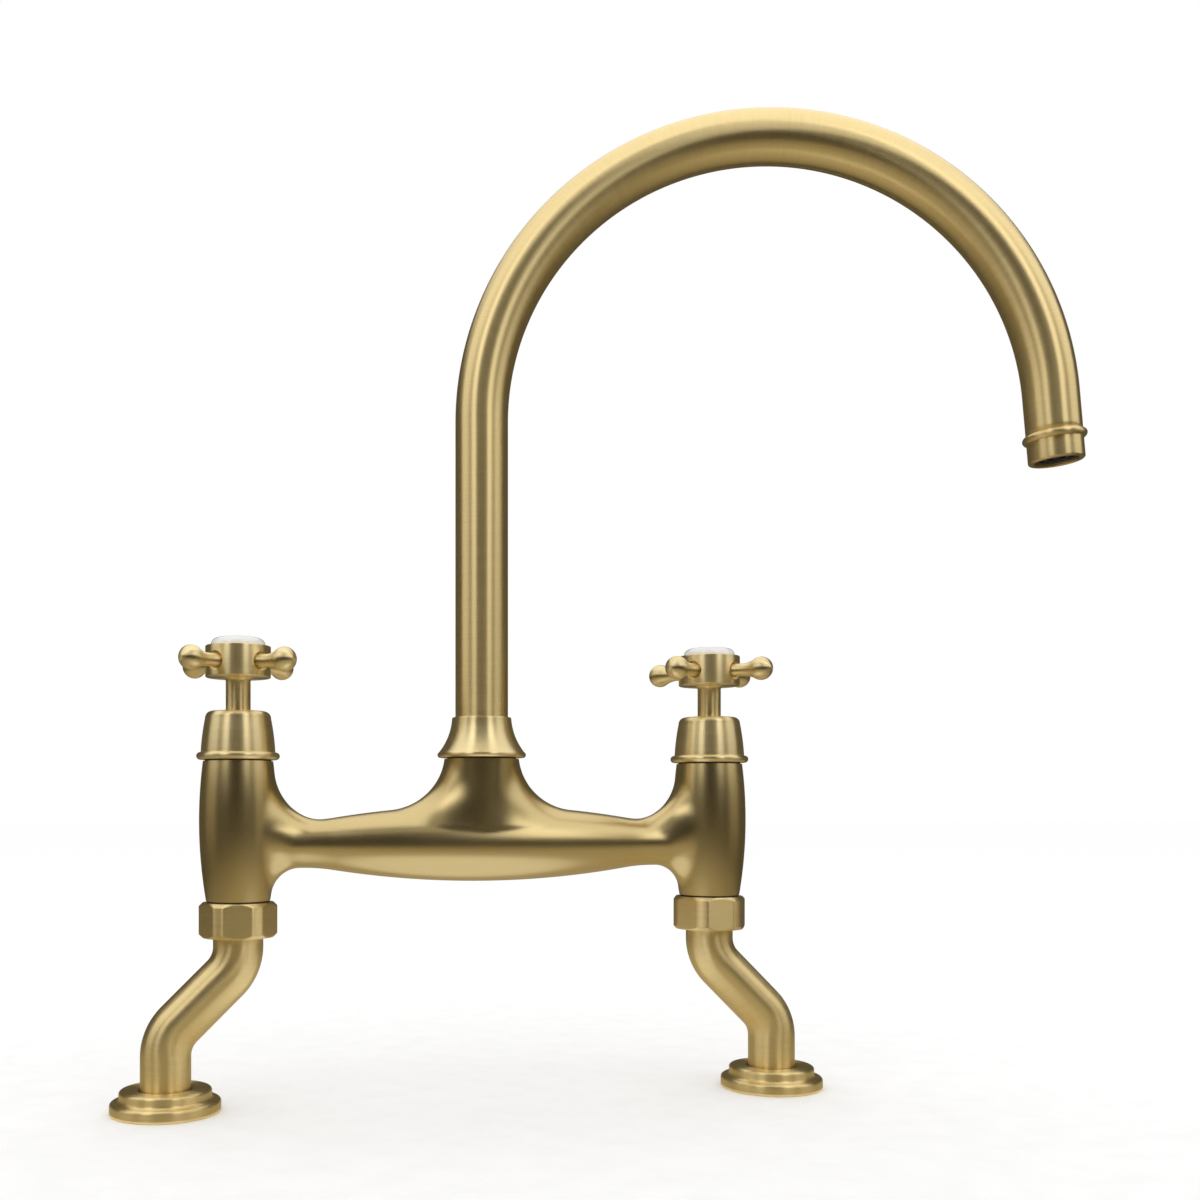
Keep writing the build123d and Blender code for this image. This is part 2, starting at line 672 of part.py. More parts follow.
        extrude(amount=-SCREW_LENGTH, mode=Mode.SUBTRACT)
    spindle.part.label = f"{side}_spindle"
    export_step(spindle.part, f"parts/{side}_spindle.step")

    with BuildPart() as spindle_ring:
        with BuildSketch(section):
            with Locations((ring_groove_r + SPINDLE_RING_R, spindle_ring_z)):
                Circle(SPINDLE_RING_R)
        revolve(axis=axis)
    spindle_ring.part.label = f"{side}_spindle_ring"
    export_step(spindle_ring.part, f"parts/{side}_spindle_ring.step")

    with BuildPart() as spindle_clip:
        with BuildSketch(Plane.XY.offset(clip_z)):
            with Locations((x, 0)):
                Circle(CLIP_R)
                Circle(SPINDLE_R - CLIP_GROOVE + SNUG, mode=Mode.SUBTRACT)
                with Locations((0, -CLIP_R)):
                    Rectangle(SPINDLE_R, 2 * CLIP_R, mode=Mode.SUBTRACT)
        extrude(amount=CLIP_H)
    spindle_clip.part.label = f"{side}_spindle_clip"
    export_step(spindle_clip.part, f"parts/{side}_spindle_clip.step")

    # Bonnet: a slightly bulged cone with a bead round its foot, screwed to the cartridge
    bead_z = pillar_top_z + BONNET_BEAD
    cone_top = (BONNET_TOP_R, bonnet_top_z - BONNET_EDGE)
    cone_foot = (BONNET_FOOT_R, pillar_top_z + 2 * BONNET_BEAD)
    cone_middle = (
        (cone_top[0] + cone_foot[0]) / 2 + BONNET_BULGE,
        (cone_top[1] + cone_foot[1]) / 2,
    )
    with BuildPart() as bonnet:
        with BuildSketch(section):
            with BuildLine():
                ThreePointArc(cone_top, cone_middle, cone_foot)
                ThreePointArc(
                    cone_foot, (BONNET_FOOT_R + BONNET_BEAD, bead_z), (BONNET_FOOT_R, pillar_top_z)
                )
                Polyline(
                    (BONNET_FOOT_R, pillar_top_z),
                    (BONNET_CAVITY_R, pillar_top_z),
                    (BONNET_CAVITY_R, pillar_top_z + BONNET_CAVITY_H),
                    (VALVE_NECK_R + SNUG, pillar_top_z + BONNET_CAVITY_H),
                    (VALVE_NECK_R + SNUG, bonnet_roof_z),
                    (NECK_R + FREE, bonnet_roof_z),
                    (NECK_R + FREE, bonnet_top_z),
                    (BONNET_TOP_R - BONNET_EDGE, bonnet_top_z),
                )
                RadiusArc((BONNET_TOP_R - BONNET_EDGE, bonnet_top_z), cone_top, BONNET_EDGE)
            make_face()
        revolve(axis=axis)
    bonnet.part.label = f"{side}_bonnet"
    export_step(bonnet.part, f"parts/{side}_bonnet.step")

    # Cross handle: hub and neck in one, pocketed round each arm and recessed for the index
    arm_angle = HANDLE_ANGLE[side]
    with BuildPart() as handle_hub:
        with BuildSketch(section):
            with BuildLine():
                Polyline(
                    (0, neck_end_z),
                    (NECK_R, neck_end_z),
                    (NECK_R, hub_z),
                    (HUB_R, hub_z),
                    (HUB_R, hub_top_z),
                    (INDEX_R + SNUG, hub_top_z),
                    (INDEX_R + SNUG, index_z),
                    (SCREW_HEAD_R + FREE, index_z),
                    (SCREW_HEAD_R + FREE, screw_seat_z),
                    (0, screw_seat_z),
                    close=True,
                )
            make_face()
        revolve(axis=axis)
        rims = handle_hub.edges().filter_by(GeomType.CIRCLE)
        fillet(rims.filter_by(lambda e: abs(e.radius - HUB_R) < SNUG), radius=HUB_EDGE)
        neck_joint = handle_hub.edges().filter_by(GeomType.CIRCLE)
        neck_joint = neck_joint.filter_by(lambda e: abs(e.radius - NECK_R) < SNUG)
        fillet(neck_joint.sort_by(Axis.Z)[-1], radius=NECK_FILLET)
        with BuildSketch(Plane.XY.offset(neck_end_z)):
            with Locations((x, 0)):
                Rectangle(SQUARE + 2 * SNUG, SQUARE + 2 * SNUG)
        extrude(amount=square_top_z + SNUG - neck_end_z, mode=Mode.SUBTRACT)
        with BuildSketch(Plane.XY.offset(square_top_z)):
            with Locations((x, 0)):
                Circle(SCREW_R + SNUG)
        extrude(amount=HUB_WEB, mode=Mode.SUBTRACT)
        with Locations((x, 0, arm_z)):
            with PolarLocations(ARM_POCKET_FLOOR, ARM_COUNT, start_angle=arm_angle):
                Cylinder(
                    ARM_POCKET_R,
                    HUB_R,
                    rotation=(0, 90, 0),
                    align=(Align.CENTER, Align.CENTER, Align.MIN),
                    mode=Mode.SUBTRACT,
                )
                Cylinder(
                    ARM_STUD_R + SNUG,
                    ARM_STUD_H + SNUG,
                    rotation=(0, 90, 0),
                    align=(Align.CENTER, Align.CENTER, Align.MAX),
                    mode=Mode.SUBTRACT,
                )
    handle_hub.part.label = f"{side}_handle_hub"
    export_step(handle_hub.part, f"parts/{side}_handle_hub.step")

    with BuildPart() as handle_arms:
        with Locations((x, 0, arm_z)):
            with PolarLocations(0, ARM_COUNT, start_angle=arm_angle):
                add(arm.part)
    handle_arms.part.label = f"{side}_handle_arms"
    export_step(handle_arms.part, f"parts/{side}_handle_arms.step")

    with BuildPart() as handle_screw:
        with BuildSketch(Plane.XY.offset(screw_seat_z)):
            with Locations((x, 0)):
                Circle(SCREW_HEAD_R)
        extrude(amount=SCREW_HEAD_H)
        with BuildSketch(Plane.XY.offset(screw_seat_z)):
            with Locations((x, 0)):
                Circle(SCREW_R)
        extrude(amount=-(SCREW_LENGTH - HUB_WEB))
        with BuildSketch(Plane.XY.offset(screw_seat_z + SCREW_HEAD_H)):
            with Locations((x, 0)):
                RegularPolygon(SCREW_SOCKET / 2, 6, major_radius=False)
        extrude(amount=-SCREW_HEAD_H / 2, mode=Mode.SUBTRACT)
    handle_screw.part.label = f"{side}_handle_screw"
    export_step(handle_screw.part, f"parts/{side}_handle_screw.step")

    # Porcelain index button with a rounded edge and a slight crown
    with BuildPart() as index:
        with BuildSketch(section):
            with BuildLine():
                Polyline(
                    (0, index_top_z),
                    (0, index_z),
                    (INDEX_R, index_z),
                    (INDEX_R, index_top_z - INDEX_CROWN - INDEX_EDGE),
                )
                rim = RadiusArc(
                    (INDEX_R, index_top_z - INDEX_CROWN - INDEX_EDGE),
                    (INDEX_R - INDEX_EDGE, index_top_z - INDEX_CROWN),
                    -INDEX_EDGE,
                )
                Spline(rim @ 1, (0, index_top_z), tangents=(rim % 1, (-1, 0)))
            make_face()
        revolve(axis=axis)
    index.part.label = f"{side}_index"
    export_step(index.part, f"parts/{side}_index.step")

# Spout, in its own upright plane, swung towards the front
swing = radians(-SPOUT_SWING)
spout_plane = Plane(
    origin=(0, 0, 0), x_dir=(cos(swing), sin(swing), 0), z_dir=(sin(swing), -cos(swing), 0)
)
with BuildPart() as spout_tube:
    with BuildLine(spout_plane) as spout_route:
        Line((0, tube_z), (0, arch_z))
        arch = JernArc((0, arch_z), (0, 1), ARCH_R, -ARCH_SWEEP)
        Line(arch @ 1, arch @ 1 + OUTLET_RUN * (arch % 1))
    with BuildSketch(Plane.XY.offset(tube_z)):
        Circle(TUBE_R)
        Circle(tube_bore_r, mode=Mode.SUBTRACT)
    sweep(path=spout_route.wire())
spout_tube.part.label = "spout_tube"
export_step(spout_tube.part, "parts/spout_tube.step")

outlet = spout_route.wire() @ 1
outlet_dir = spout_route.wire() % 1
outlet_plane = Plane(origin=outlet, x_dir=spout_plane.z_dir, z_dir=outlet_dir)
outlet_section = Plane(
    origin=outlet, x_dir=spout_plane.z_dir, z_dir=spout_plane.z_dir.cross(outlet_dir)
)
outlet_axis = Axis(outlet, outlet_dir)

# Spigot: plugged into the tube, it turns in the boss on two rings
spigot_r = SOCKET_R - RUNNING
o_ring_root = SOCKET_R - O_RING_SQUEEZE - 2 * O_RING_R
with BuildPart() as spout_spigot:
    with BuildSketch(upright):
        with BuildLine():
            Polyline(
                (SPIGOT_BORE_R, socket_floor_z + SPIGOT_FLOOR_PLAY),
                (spigot_r, socket_floor_z + SPIGOT_FLOOR_PLAY),
                (spigot_r, neck_top_z),
                (SPIGOT_GROOVE_R, neck_top_z),
                (SPIGOT_GROOVE_R, ring_top_z),
                (TUBE_R, ring_top_z),
                (TUBE_R, tube_z),
                (plug_r, tube_z),
                (plug_r, tube_z + SPIGOT_PLUG_H),
                (SPIGOT_BORE_R, tube_z + SPIGOT_PLUG_H),
                close=True,
            )
        make_face()
    revolve(axis=Axis.Z)
    for rise in O_RING_RISES:
        with BuildSketch(Plane.XY.offset(socket_floor_z + rise - O_RING_R - SNUG)):
            Circle(spigot_r)
            Circle(o_ring_root - SNUG, mode=Mode.SUBTRACT)
        extrude(amount=2 * (O_RING_R + SNUG), mode=Mode.SUBTRACT)
spout_spigot.part.label = "spout_spigot"
export_step(spout_spigot.part, "parts/spout_spigot.step")

with BuildPart() as spout_o_rings:
    with BuildSketch(upright):
        with Locations(*[(o_ring_root + O_RING_R, socket_floor_z + rise) for rise in O_RING_RISES]):
            Circle(O_RING_R)
    revolve(axis=Axis.Z)
spout_o_rings.part.label = "spout_o_rings"
export_step(spout_o_rings.part, "parts/spout_o_rings.step")

with BuildPart() as spout_split_ring:
    with BuildSketch(Plane.XY.offset(neck_top_z + SPLIT_RING_PLAY)):
        Circle(SPLIT_RING_R)
        Circle(SPIGOT_GROOVE_R + SNUG, mode=Mode.SUBTRACT)
        with Locations((-SPLIT_RING_R, 0)):
            Rectangle(2 * SPLIT_RING_R, SPLIT_RING_GAP, mode=Mode.SUBTRACT)
    extrude(amount=SPLIT_RING_H)
spout_split_ring.part.label = "spout_split_ring"
export_step(spout_split_ring.part, "parts/spout_split_ring.step")

# Bell-shaped collar: screwed to the boss, it keeps the split ring and the spout down
bead_top = boss_top_z + COLLAR_BEAD_H
bead_overhang = COLLAR_BEAD_R - COLLAR_FLARE_R
collar_top_z = boss_top_z + COLLAR_H
with BuildPart() as spout_collar:
    with BuildSketch(upright):
        with BuildLine():
            ThreePointArc(
                (COLLAR_TOP_R, collar_top_z - COLLAR_LIP_EDGE),
                (COLLAR_WAIST_R, boss_top_z + COLLAR_WAIST_RISE),
                (COLLAR_FLARE_R, bead_top),
            )
            ThreePointArc(
                (COLLAR_FLARE_R, bead_top),
                (COLLAR_BEAD_R, boss_top_z + COLLAR_BEAD_H / 2),
                (COLLAR_FLARE_R, boss_top_z),
            )
            Polyline(
                (COLLAR_FLARE_R, boss_top_z),
                (COLLAR_THREAD_R + SNUG, boss_top_z),
                (COLLAR_THREAD_R + SNUG, ring_top_z),
                (TUBE_R + FREE, ring_top_z),
                (TUBE_R + FREE, collar_top_z),
                (COLLAR_TOP_R - COLLAR_LIP_EDGE, collar_top_z),
                (COLLAR_TOP_R, collar_top_z - COLLAR_LIP_EDGE),
            )
        make_face()
    revolve(axis=Axis.Z)
spout_collar.part.label = "spout_collar"
export_step(spout_collar.part, "parts/spout_collar.step")

# Outlet sleeve: plugged into the tube, with a bead and a skirt for the aerator
aerator_bore = TUBE_R - SLEEVE_WALL
sleeve_end = BEAD_H + SLEEVE_H
with BuildPart() as outlet_sleeve:
    with BuildSketch(outlet_section):
        with BuildLine():
            Polyline(
                (plug_r - SLEEVE_PLUG_WALL, -SLEEVE_PLUG_H),
                (plug_r, -SLEEVE_PLUG_H),
                (plug_r, 0),
                (TUBE_R, 0),
            )
            ThreePointArc((TUBE_R, 0), (BEAD_R, BEAD_H / 2), (TUBE_R, BEAD_H))
            Polyline((TUBE_R, BEAD_H), (TUBE_R, sleeve_end - SLEEVE_EDGE))
            RadiusArc((TUBE_R, sleeve_end - SLEEVE_EDGE), (TUBE_R - SLEEVE_EDGE, sleeve_end), SLEEVE_EDGE)
            Polyline(
                (TUBE_R - SLEEVE_EDGE, sleeve_end),
                (aerator_bore, sleeve_end),
                (aerator_bore, AERATOR_SEAT),
                (plug_r - SLEEVE_PLUG_WALL, AERATOR_SEAT),
                (plug_r - SLEEVE_PLUG_WALL, -SLEEVE_PLUG_H),
            )
        make_face()
    revolve(axis=outlet_axis)
outlet_sleeve.part.label = "outlet_sleeve"
export_step(outlet_sleeve.part, "parts/outlet_sleeve.step")

with BuildPart() as aerator_washer:
    with BuildSketch(outlet_plane.offset(AERATOR_SEAT)):
        Circle(aerator_bore - SNUG)
        Circle(plug_r - SLEEVE_PLUG_WALL, mode=Mode.SUBTRACT)
    extrude(amount=AERATOR_WASHER_H)
aerator_washer.part.label = "aerator_washer"
export_step(aerator_washer.part, "parts/aerator_washer.step")

# Aerator: a ring of slots round a cupped middle with a few jets
aerator_face = AERATOR_SEAT + AERATOR_WASHER_H + AERATOR_H
with BuildPart() as aerator_insert:
    with BuildSketch(outlet_plane.offset(AERATOR_SEAT + AERATOR_WASHER_H)):
        Circle(aerator_bore - SNUG)
    extrude(amount=AERATOR_H)
    with BuildSketch(outlet_plane.offset(aerator_face)):
        Circle(AERATOR_SLOT_REACH - AERATOR_SLOT_L / 2 - AERATOR_MESH_R / 2)
    extrude(amount=-AERATOR_CUP, mode=Mode.SUBTRACT)
    with BuildSketch(outlet_plane.offset(aerator_face)):
        with PolarLocations(AERATOR_SLOT_REACH, AERATOR_SLOTS):
            Rectangle(AERATOR_SLOT_L, AERATOR_SLOT_W)
        Circle(AERATOR_MESH_R)
        with PolarLocations(AERATOR_MESH_REACH, AERATOR_MESH_HOLES - 1):
            Circle(AERATOR_MESH_R)
    extrude(amount=-AERATOR_H, mode=Mode.SUBTRACT)
aerator_insert.part.label = "aerator_insert"
export_step(aerator_insert.part, "parts/aerator_insert.step")
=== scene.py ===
"""Looks for a bridge mixer tap: cast bridge, turned brass, bent tubes and glazed buttons.

The packed model is the fixed frame. Each visible piece is made here at a finer grain
than the packed solid it stands for, in metres and in the same frame, and rides on the
same body.
"""

import functools
import json
import math

import bmesh
import bpy
import numpy as np
from bpy.props import FloatProperty, FloatVectorProperty, IntProperty, PointerProperty
from mathutils import Matrix, Vector


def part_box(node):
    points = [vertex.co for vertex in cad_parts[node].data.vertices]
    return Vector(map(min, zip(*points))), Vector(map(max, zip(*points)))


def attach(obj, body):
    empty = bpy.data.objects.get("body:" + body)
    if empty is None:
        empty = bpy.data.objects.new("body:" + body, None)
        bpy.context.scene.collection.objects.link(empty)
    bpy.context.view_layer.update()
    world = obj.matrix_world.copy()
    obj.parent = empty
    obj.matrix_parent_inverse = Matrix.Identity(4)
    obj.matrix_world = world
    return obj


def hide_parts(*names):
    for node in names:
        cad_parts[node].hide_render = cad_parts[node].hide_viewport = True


bl_info = {
    "name": "Bridge Mixer Tap",
    "version": (1, 0, 0),
    "blender": (4, 5, 0),
    "location": "View3D > Sidebar > Tap",
    "description": "Dresses a packed bridge mixer tap with its cast, turned, bent and glazed pieces",
    "category": "Add Mesh",
}

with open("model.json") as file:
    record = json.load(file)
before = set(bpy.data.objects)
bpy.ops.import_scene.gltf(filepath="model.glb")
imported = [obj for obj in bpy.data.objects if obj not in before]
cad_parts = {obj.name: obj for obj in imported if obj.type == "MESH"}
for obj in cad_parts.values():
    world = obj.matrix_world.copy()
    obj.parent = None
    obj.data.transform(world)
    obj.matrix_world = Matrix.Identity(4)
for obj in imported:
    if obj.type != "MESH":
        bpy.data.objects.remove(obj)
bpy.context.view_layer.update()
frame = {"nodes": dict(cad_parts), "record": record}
MM = 0.001
SIDES = ("hot", "cold")
BRUSH_MAP = "brush"  # UV map: turns round the piece, and metres along it
SHARP = math.radians(32)
SNUG = 0.05 * MM  # play between pieces that fit together
HAIR = 0.3 * MM  # broken edges
ALONG_X = Matrix.Rotation(math.pi / 2, 4, "Y")  # lays an upright shape along X
# Faces round a turned piece: slim ones and cutters, tubes, wide ones, and a nut's six flats
SLIM, TUBE, WIDE, HEXAGON = 64, 96, 192, 360


def low(node):
    """Lowest corner of a packed node's box."""
    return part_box(node)[0]


def high(node):
    """Highest corner of a packed node's box."""
    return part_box(node)[1]


def axis_x(node):
    """X of the upright axis that a turned node stands on."""
    return (low(node).x + high(node).x) / 2


PILLAR_X = {side: axis_x(f"{side}_bonnet") for side in SIDES}
FOOT_X = {side: axis_x(f"{side}_flange") for side in SIDES}
PILLAR_TOP = low("hot_bonnet").z
NUT_LOW, NUT_HIGH = low("hot_union_nut").z, high("hot_union_nut").z
BOSS_TOP = low("spout_collar").z
TUBE_FOOT = low("spout_tube").z
INDEX_TOP = high("hot_index").z


# Properties


def length(name, description, millimetres):
    """Length property, given in millimetres and kept in metres."""
    return FloatProperty(
        name=name, description=description, default=millimetres * MM, unit="LENGTH", precision=5
    )


def turn(name, description, degrees):
    """Angle property, given in degrees."""
    return FloatProperty(
        name=name, description=description, default=math.radians(degrees), subtype="ANGLE"
    )


def share(name, description, default):
    """Property that runs from 0 to 1."""
    return FloatProperty(
        name=name, description=description, default=default, min=0, max=1, subtype="FACTOR"
    )


def paint(name, description, default):
    """Colour property."""
    return FloatVectorProperty(
        name=name, description=description, default=default, size=3, min=0, max=1, subtype="COLOR"
    )


class TapCasting(bpy.types.PropertyGroup):
    """Sizes of the cast bridge"""

    axis_rise: length("Axis rise", "Bridge axis above the pillar's foot", 22.1)
    foot_gap: length("Foot gap", "Thread left showing between nut and pillar", 1.2)
    foot_reach: length("Foot reach", "How far the pillar's edge hangs down over that thread", 0.5)
    belly_radius: length("Belly radius", "Bridge radius under the spout", 15.75)
    neck_radius: length("Neck radius", "Slimmest radius of the bridge", 9.7)
    neck_reach: length("Neck reach", "From a pillar's axis to the slimmest section", 26)
    belly_arc: length("Belly arc", "Radius of the belly's long curve", 380)
    pillar_top: length("Pillar top", "Pillar radius under the bonnet", 13.98)
    pillar_belly: length("Pillar belly", "Largest radius of a pillar", 15.47)
    pillar_belly_rise: length("Pillar belly rise", "Fullest point above the foot", 31.8)
    pillar_foot: length("Pillar foot", "Pillar radius above the nut", 12.85)
    boss_root: length("Boss root", "Boss radius at the bridge axis", 14.7)
    boss_top: length("Boss top", "Boss radius under the collar", 15.4)
    boss_blend: length("Boss blend", "Blend between boss and bridge", 23)
    upper_blend: length("Upper blend", "Blend over the neck, at a pillar", 19)
    lower_blend: length("Lower blend", "Blend under the neck, at a pillar", 10)
    spigot: length("Spigot", "Radius of the thread under a pillar", 12)
    spigot_wall: length("Spigot wall", "Depth of that thread's ring", 2)
    # Rings of painted shade in the joint lines
    ring_width: length("Shade ring width", "Width of the dark rings of painted shade in the joint lines", 0.4)
    grain: length("Grain", "Width of the casting's mesh faces", 0.85)


class TapSpout(bpy.types.PropertyGroup):
    """Sizes of the spout and its outlet"""

    tube_radius: length("Tube radius", "Outside radius of the spout tube", 11)
    tube_wall: length("Tube wall", "Wall of the spout tube", 1.2)
    riser: length("Riser", "Straight tube up to the arch", 131.7)
    arch_radius: length("Arch radius", "Centre line radius of the arch", 118)
    arch_sweep: turn("Arch sweep", "Angle that the arch turns through", 175)
    outlet_run: length("Outlet run", "Straight tube after the arch", 16.5)
    swing: turn("Swing", "Spout's turn from the bridge to the front, at rest", 12)
    bead: length("Bead", "Outside radius of the outlet's bead", 12.5)
    bead_height: length("Bead height", "Height of the outlet's bead", 3.4)
    sleeve: length("Sleeve", "Height of the sleeve below the bead", 8.3)
    sleeve_edge: length("Sleeve edge", "Rounding of the sleeve's tip", 0.8)
    mouth: length("Mouth", "Radius of the sleeve's mouth", 8.7)
    mouth_edge: length("Mouth edge", "Chamfer inside the mouth", 0.25)
    shelf: length("Shelf", "Shelf behind the aerator, below the tube's end", 2)
    plug_depth: length("Plug depth", "How far the sleeve plugs into the tube", 8)
    plug_wall: length("Plug wall", "Wall of that plug", 2.2)


class TapAerator(bpy.types.PropertyGroup):
    """Sizes of the aerator"""

    back: length("Back", "Aerator's back below the tube's end", 4)
    recess: length("Recess", "How far its face lies inside the mouth", 1.1)
    ring: length("Ring", "Inside radius of the outer ring", 6.9)
    jet_ring: length("Jet ring", "Outside radius of the inner ring", 4.6)
    jet_wall: length("Jet wall", "Wall of the inner ring", 0.9)
    jet_edge: length("Jet edge", "Rounding of the inner ring", 0.25)
    plate: length("Plate", "Thickness of the plate behind the ribs", 1.6)
    plate_play: length("Plate play", "Plate's edge inside the outer ring's", 0.2)
    dome: length("Dome", "Radius of the dome in the middle", 2.9)
    dome_side: length("Dome side", "Top of the dome's side below the face", 1.2)
    dome_shoulder: length("Dome shoulder", "Radius half way up the dome", 1.6)
    shoulder_drop: length("Shoulder drop", "That shoulder below the face", 0.45)
    dome_drop: length("Dome drop", "Top of the dome below the face", 0.2)
    ribs: IntProperty(name="Ribs", description="Ribs round the aerator", default=12, min=3)
    rib_lap: length("Rib lap", "How far a rib runs into the rings", 0.2)
    rib_drop: length("Rib drop", "Top of a rib below the face", 0.15)
    rib_rise: length("Rib rise", "Foot of a rib above the back", 1)
    rib_half: length("Rib half", "Half the thickness of a rib", 0.45)


class TapCollars(bpy.types.PropertyGroup):
    """Sizes of the bonnets and the spout collar"""

    bonnet_top: length("Bonnet top", "Bonnet radius below its rounded edge", 13.1)
    bonnet_foot: length("Bonnet foot", "Bonnet radius above its bead", 14.85)
    bonnet_edge: length("Bonnet edge", "Rounding of the bonnet's top edge", 2.7)
    bonnet_bulge: length("Bonnet bulge", "How far the bonnet's side swells", 0.25)
    bonnet_bead: length("Bonnet bead", "Outside radius of the bonnet's bead", 16.6)
    bead_height: length("Bead height", "Height of the bonnet's bead", 3.5)
    bonnet_cavity: length("Bonnet cavity", "Radius of the hollow over the valve", 12.6)
    cavity_height: length("Cavity height", "Height of that hollow", 9.5)
    valve_neck: length("Valve neck", "Radius of the hole for the valve's neck", 9.05)
    bonnet_roof: length("Bonnet roof", "Metal over the valve", 3.6)
    stem_hole: length("Stem hole", "Radius of the hole in the roof", 5.25)
    joint_line: length("Joint line", "Height of the shadow line under a bead", 0.6)
    joint_depth: length("Joint depth", "How far the shadow line runs in from the bead", 2.0)
    collar_top: length("Collar top", "Collar radius at its lip", 12.4)
    collar_waist: length("Collar waist", "Collar radius half way down", 14.3)
    waist_rise: length("Waist rise", "That waist above the collar's foot", 8.8)
    collar_flare: length("Collar flare", "Collar radius above its bead", 17.8)
    collar_bead: length("Collar bead", "Outside radius of the collar's bead", 18.5)
    collar_bead_top: length("Collar bead top", "Top of the bead above the collar's foot", 2.9)
    collar_bore: length("Collar bore", "Radius of the collar's thread", 13.3)
    collar_hole: length("Collar hole", "Radius of the hole for the tube", 11.3)
    collar_shoulder: length("Collar shoulder", "Collar's seat below the tube's end", 2.5)


class TapHandles(bpy.types.PropertyGroup):
    """Sizes of the cross handles"""

    hub_radius: length("Hub radius", "Outside radius of a hub", 13.05)
    hub_height: length("Hub height", "Height of a hub", 12.7)
    hub_top_drop: length("Hub top", "Hub's rim below the top of the index", 3.8)
    hub_bore: length("Hub bore", "Radius of the hole for the spindle", 2.7)
    hub_edge: length("Hub edge", "Rounding of the hub's lower edge", 0.55)
    rim_edge: length("Rim edge", "Rounding of the hub's rim", 0.4)
    well_edge: length("Well edge", "Rounding of the well for the index", 0.2)
    neck_radius: length("Neck radius", "Radius of the neck under a hub", 4.95)
    neck_blend: length("Neck blend", "Blend between neck and hub", 1.6)
    arms: IntProperty(name="Arms", description="Arms on each hub", default=4, min=2)
    arm_rise: length("Arm rise", "Arm axis above the hub's underside", 6)
    pocket: length("Pocket", "Radius of the flat round each arm", 3.9)
    pocket_floor: length("Pocket floor", "Pocket's floor from the hub's axis", 11.4)
    stud: length("Stud", "Radius of the stud inside the hub", 2)
    stud_start: length("Stud start", "Stud's end from the hub's axis", 7)
    arm_root: length("Arm root", "Arm radius at the hub", 3.15)
    arm_waist: length("Arm waist", "Slimmest arm radius", 2.65)
    waist_reach: length("Waist reach", "Waist from the hub's axis", 16.4)
    ball_radius: length("Ball radius", "Radius of an arm's ball", 4.9)
    ball_reach: length("Ball reach", "Ball's centre from the hub's axis", 25.3)
    hot_angle: turn("Hot angle", "First hot arm from the bridge, at rest", 45)
    cold_angle: turn("Cold angle", "First cold arm from the bridge, at rest", 38)
    index_radius: length("Index radius", "Radius of the porcelain button", 10.8)
    index_edge: length("Index edge", "Rounding of the button's edge", 2.6)
    index_crown: length("Index crown", "How far the button's face swells", 0.55)


class TapLegs(bpy.types.PropertyGroup):
    """Sizes of the legs, union nuts and deck flanges"""

    radius: length("Leg radius", "Outside radius of a leg", 10)
    bore: length("Leg bore", "Inside radius of a leg", 7.2)
    bend_radius: length("Bend radius", "Centre line radius of each bend", 18)
    bend: turn("Bend", "Angle of each bend", 45)
    foot: length("Foot", "Straight tube above the deck", 22.2)
    lip_height: length("Lip height", "Height of the leg's lip inside the nut", 2.5)
    flats: length("Nut flats", "Nut across its flats", 29)
    corner: length("Nut corner", "Radius that the nut's corners are turned to", 15.6)
    chamfer: length("Nut chamfer", "Chamfer on the nut's ends", 1.4)
    flat_blend: length("Flat blend", "Softness of the edge round a flat", 0.3)
    nut_bore: length("Nut bore", "Radius of the nut's thread", 12.05)
    nut_floor: length("Nut floor", "Metal under the leg's lip", 1.8)
    thread_edge: length("Thread edge", "Chamfer at the mouth of the nut's thread", 0.4)
    lip_edge: length("Lip edge", "Chamfer at the nut's lower hole", 0.2)
    flange: length("Flange", "Radius of the flange's lower step", 21.8)
    flange_step: length("Flange step", "Radius of the flange's upper step", 18.2)
    step_height: length("Step height", "Height of the lower step", 4.9)
    flange_edge: length("Flange edge", "Rounding of both steps", 1.3)
    flange_cove: length("Flange cove", "Hollow where the steps meet", 1.4)
    flange_foot: length("Flange foot", "Rounding of the flange's lower edge", 0.5)
    flange_play: length("Flange play", "Gap between leg and flange", 0.7)
    flange_mouth: length("Flange mouth", "Rounding of the hole's upper edge", 0.35)
    ring_groove: length("Ring groove", "Radius of the groove for the grip ring", 12.1)
    seal_width: length("Seal width", "Width of the groove for the deck seal", 3.5)


class TapFinish(bpy.types.PropertyGroup):
    """Colours and finishes"""

    tube: paint("Tube brass", "Colour of the bent tubes", (0.94, 0.745, 0.37))
    turned: paint("Turned brass", "Colour of the turned pieces", (0.98, 0.805, 0.44))
    # Darker than the tube and turned brass: partly the casting's own tone, partly painted shade
    cast: paint("Cast brass", "Colour of the cast brass", (0.68, 0.533, 0.258))
    tube_roughness: share("Tube roughness", "Roughness of the bent tubes", 0.38)
    turned_roughness: share("Turned roughness", "Roughness of the turned pieces", 0.36)
    cast_roughness: share("Cast roughness", "Roughness of the casting", 0.295)
    glaze: paint("Glaze", "Colour of the porcelain", (0.85, 0.842, 0.822))
    aerator: paint("Aerator", "Colour of the aerator", (0.014, 0.013, 0.011))
    rubber: paint("Rubber", "Colour of the seals", (0.03, 0.03, 0.03))
    steel: paint("Steel", "Colour of the screws and clips", (0.6, 0.6, 0.6))
    ceramic: paint("Ceramic", "Colour of the valve discs", (0.8, 0.79, 0.75))
    floor: paint("Floor", "Colour of the floor", (0.99, 0.99, 0.99))


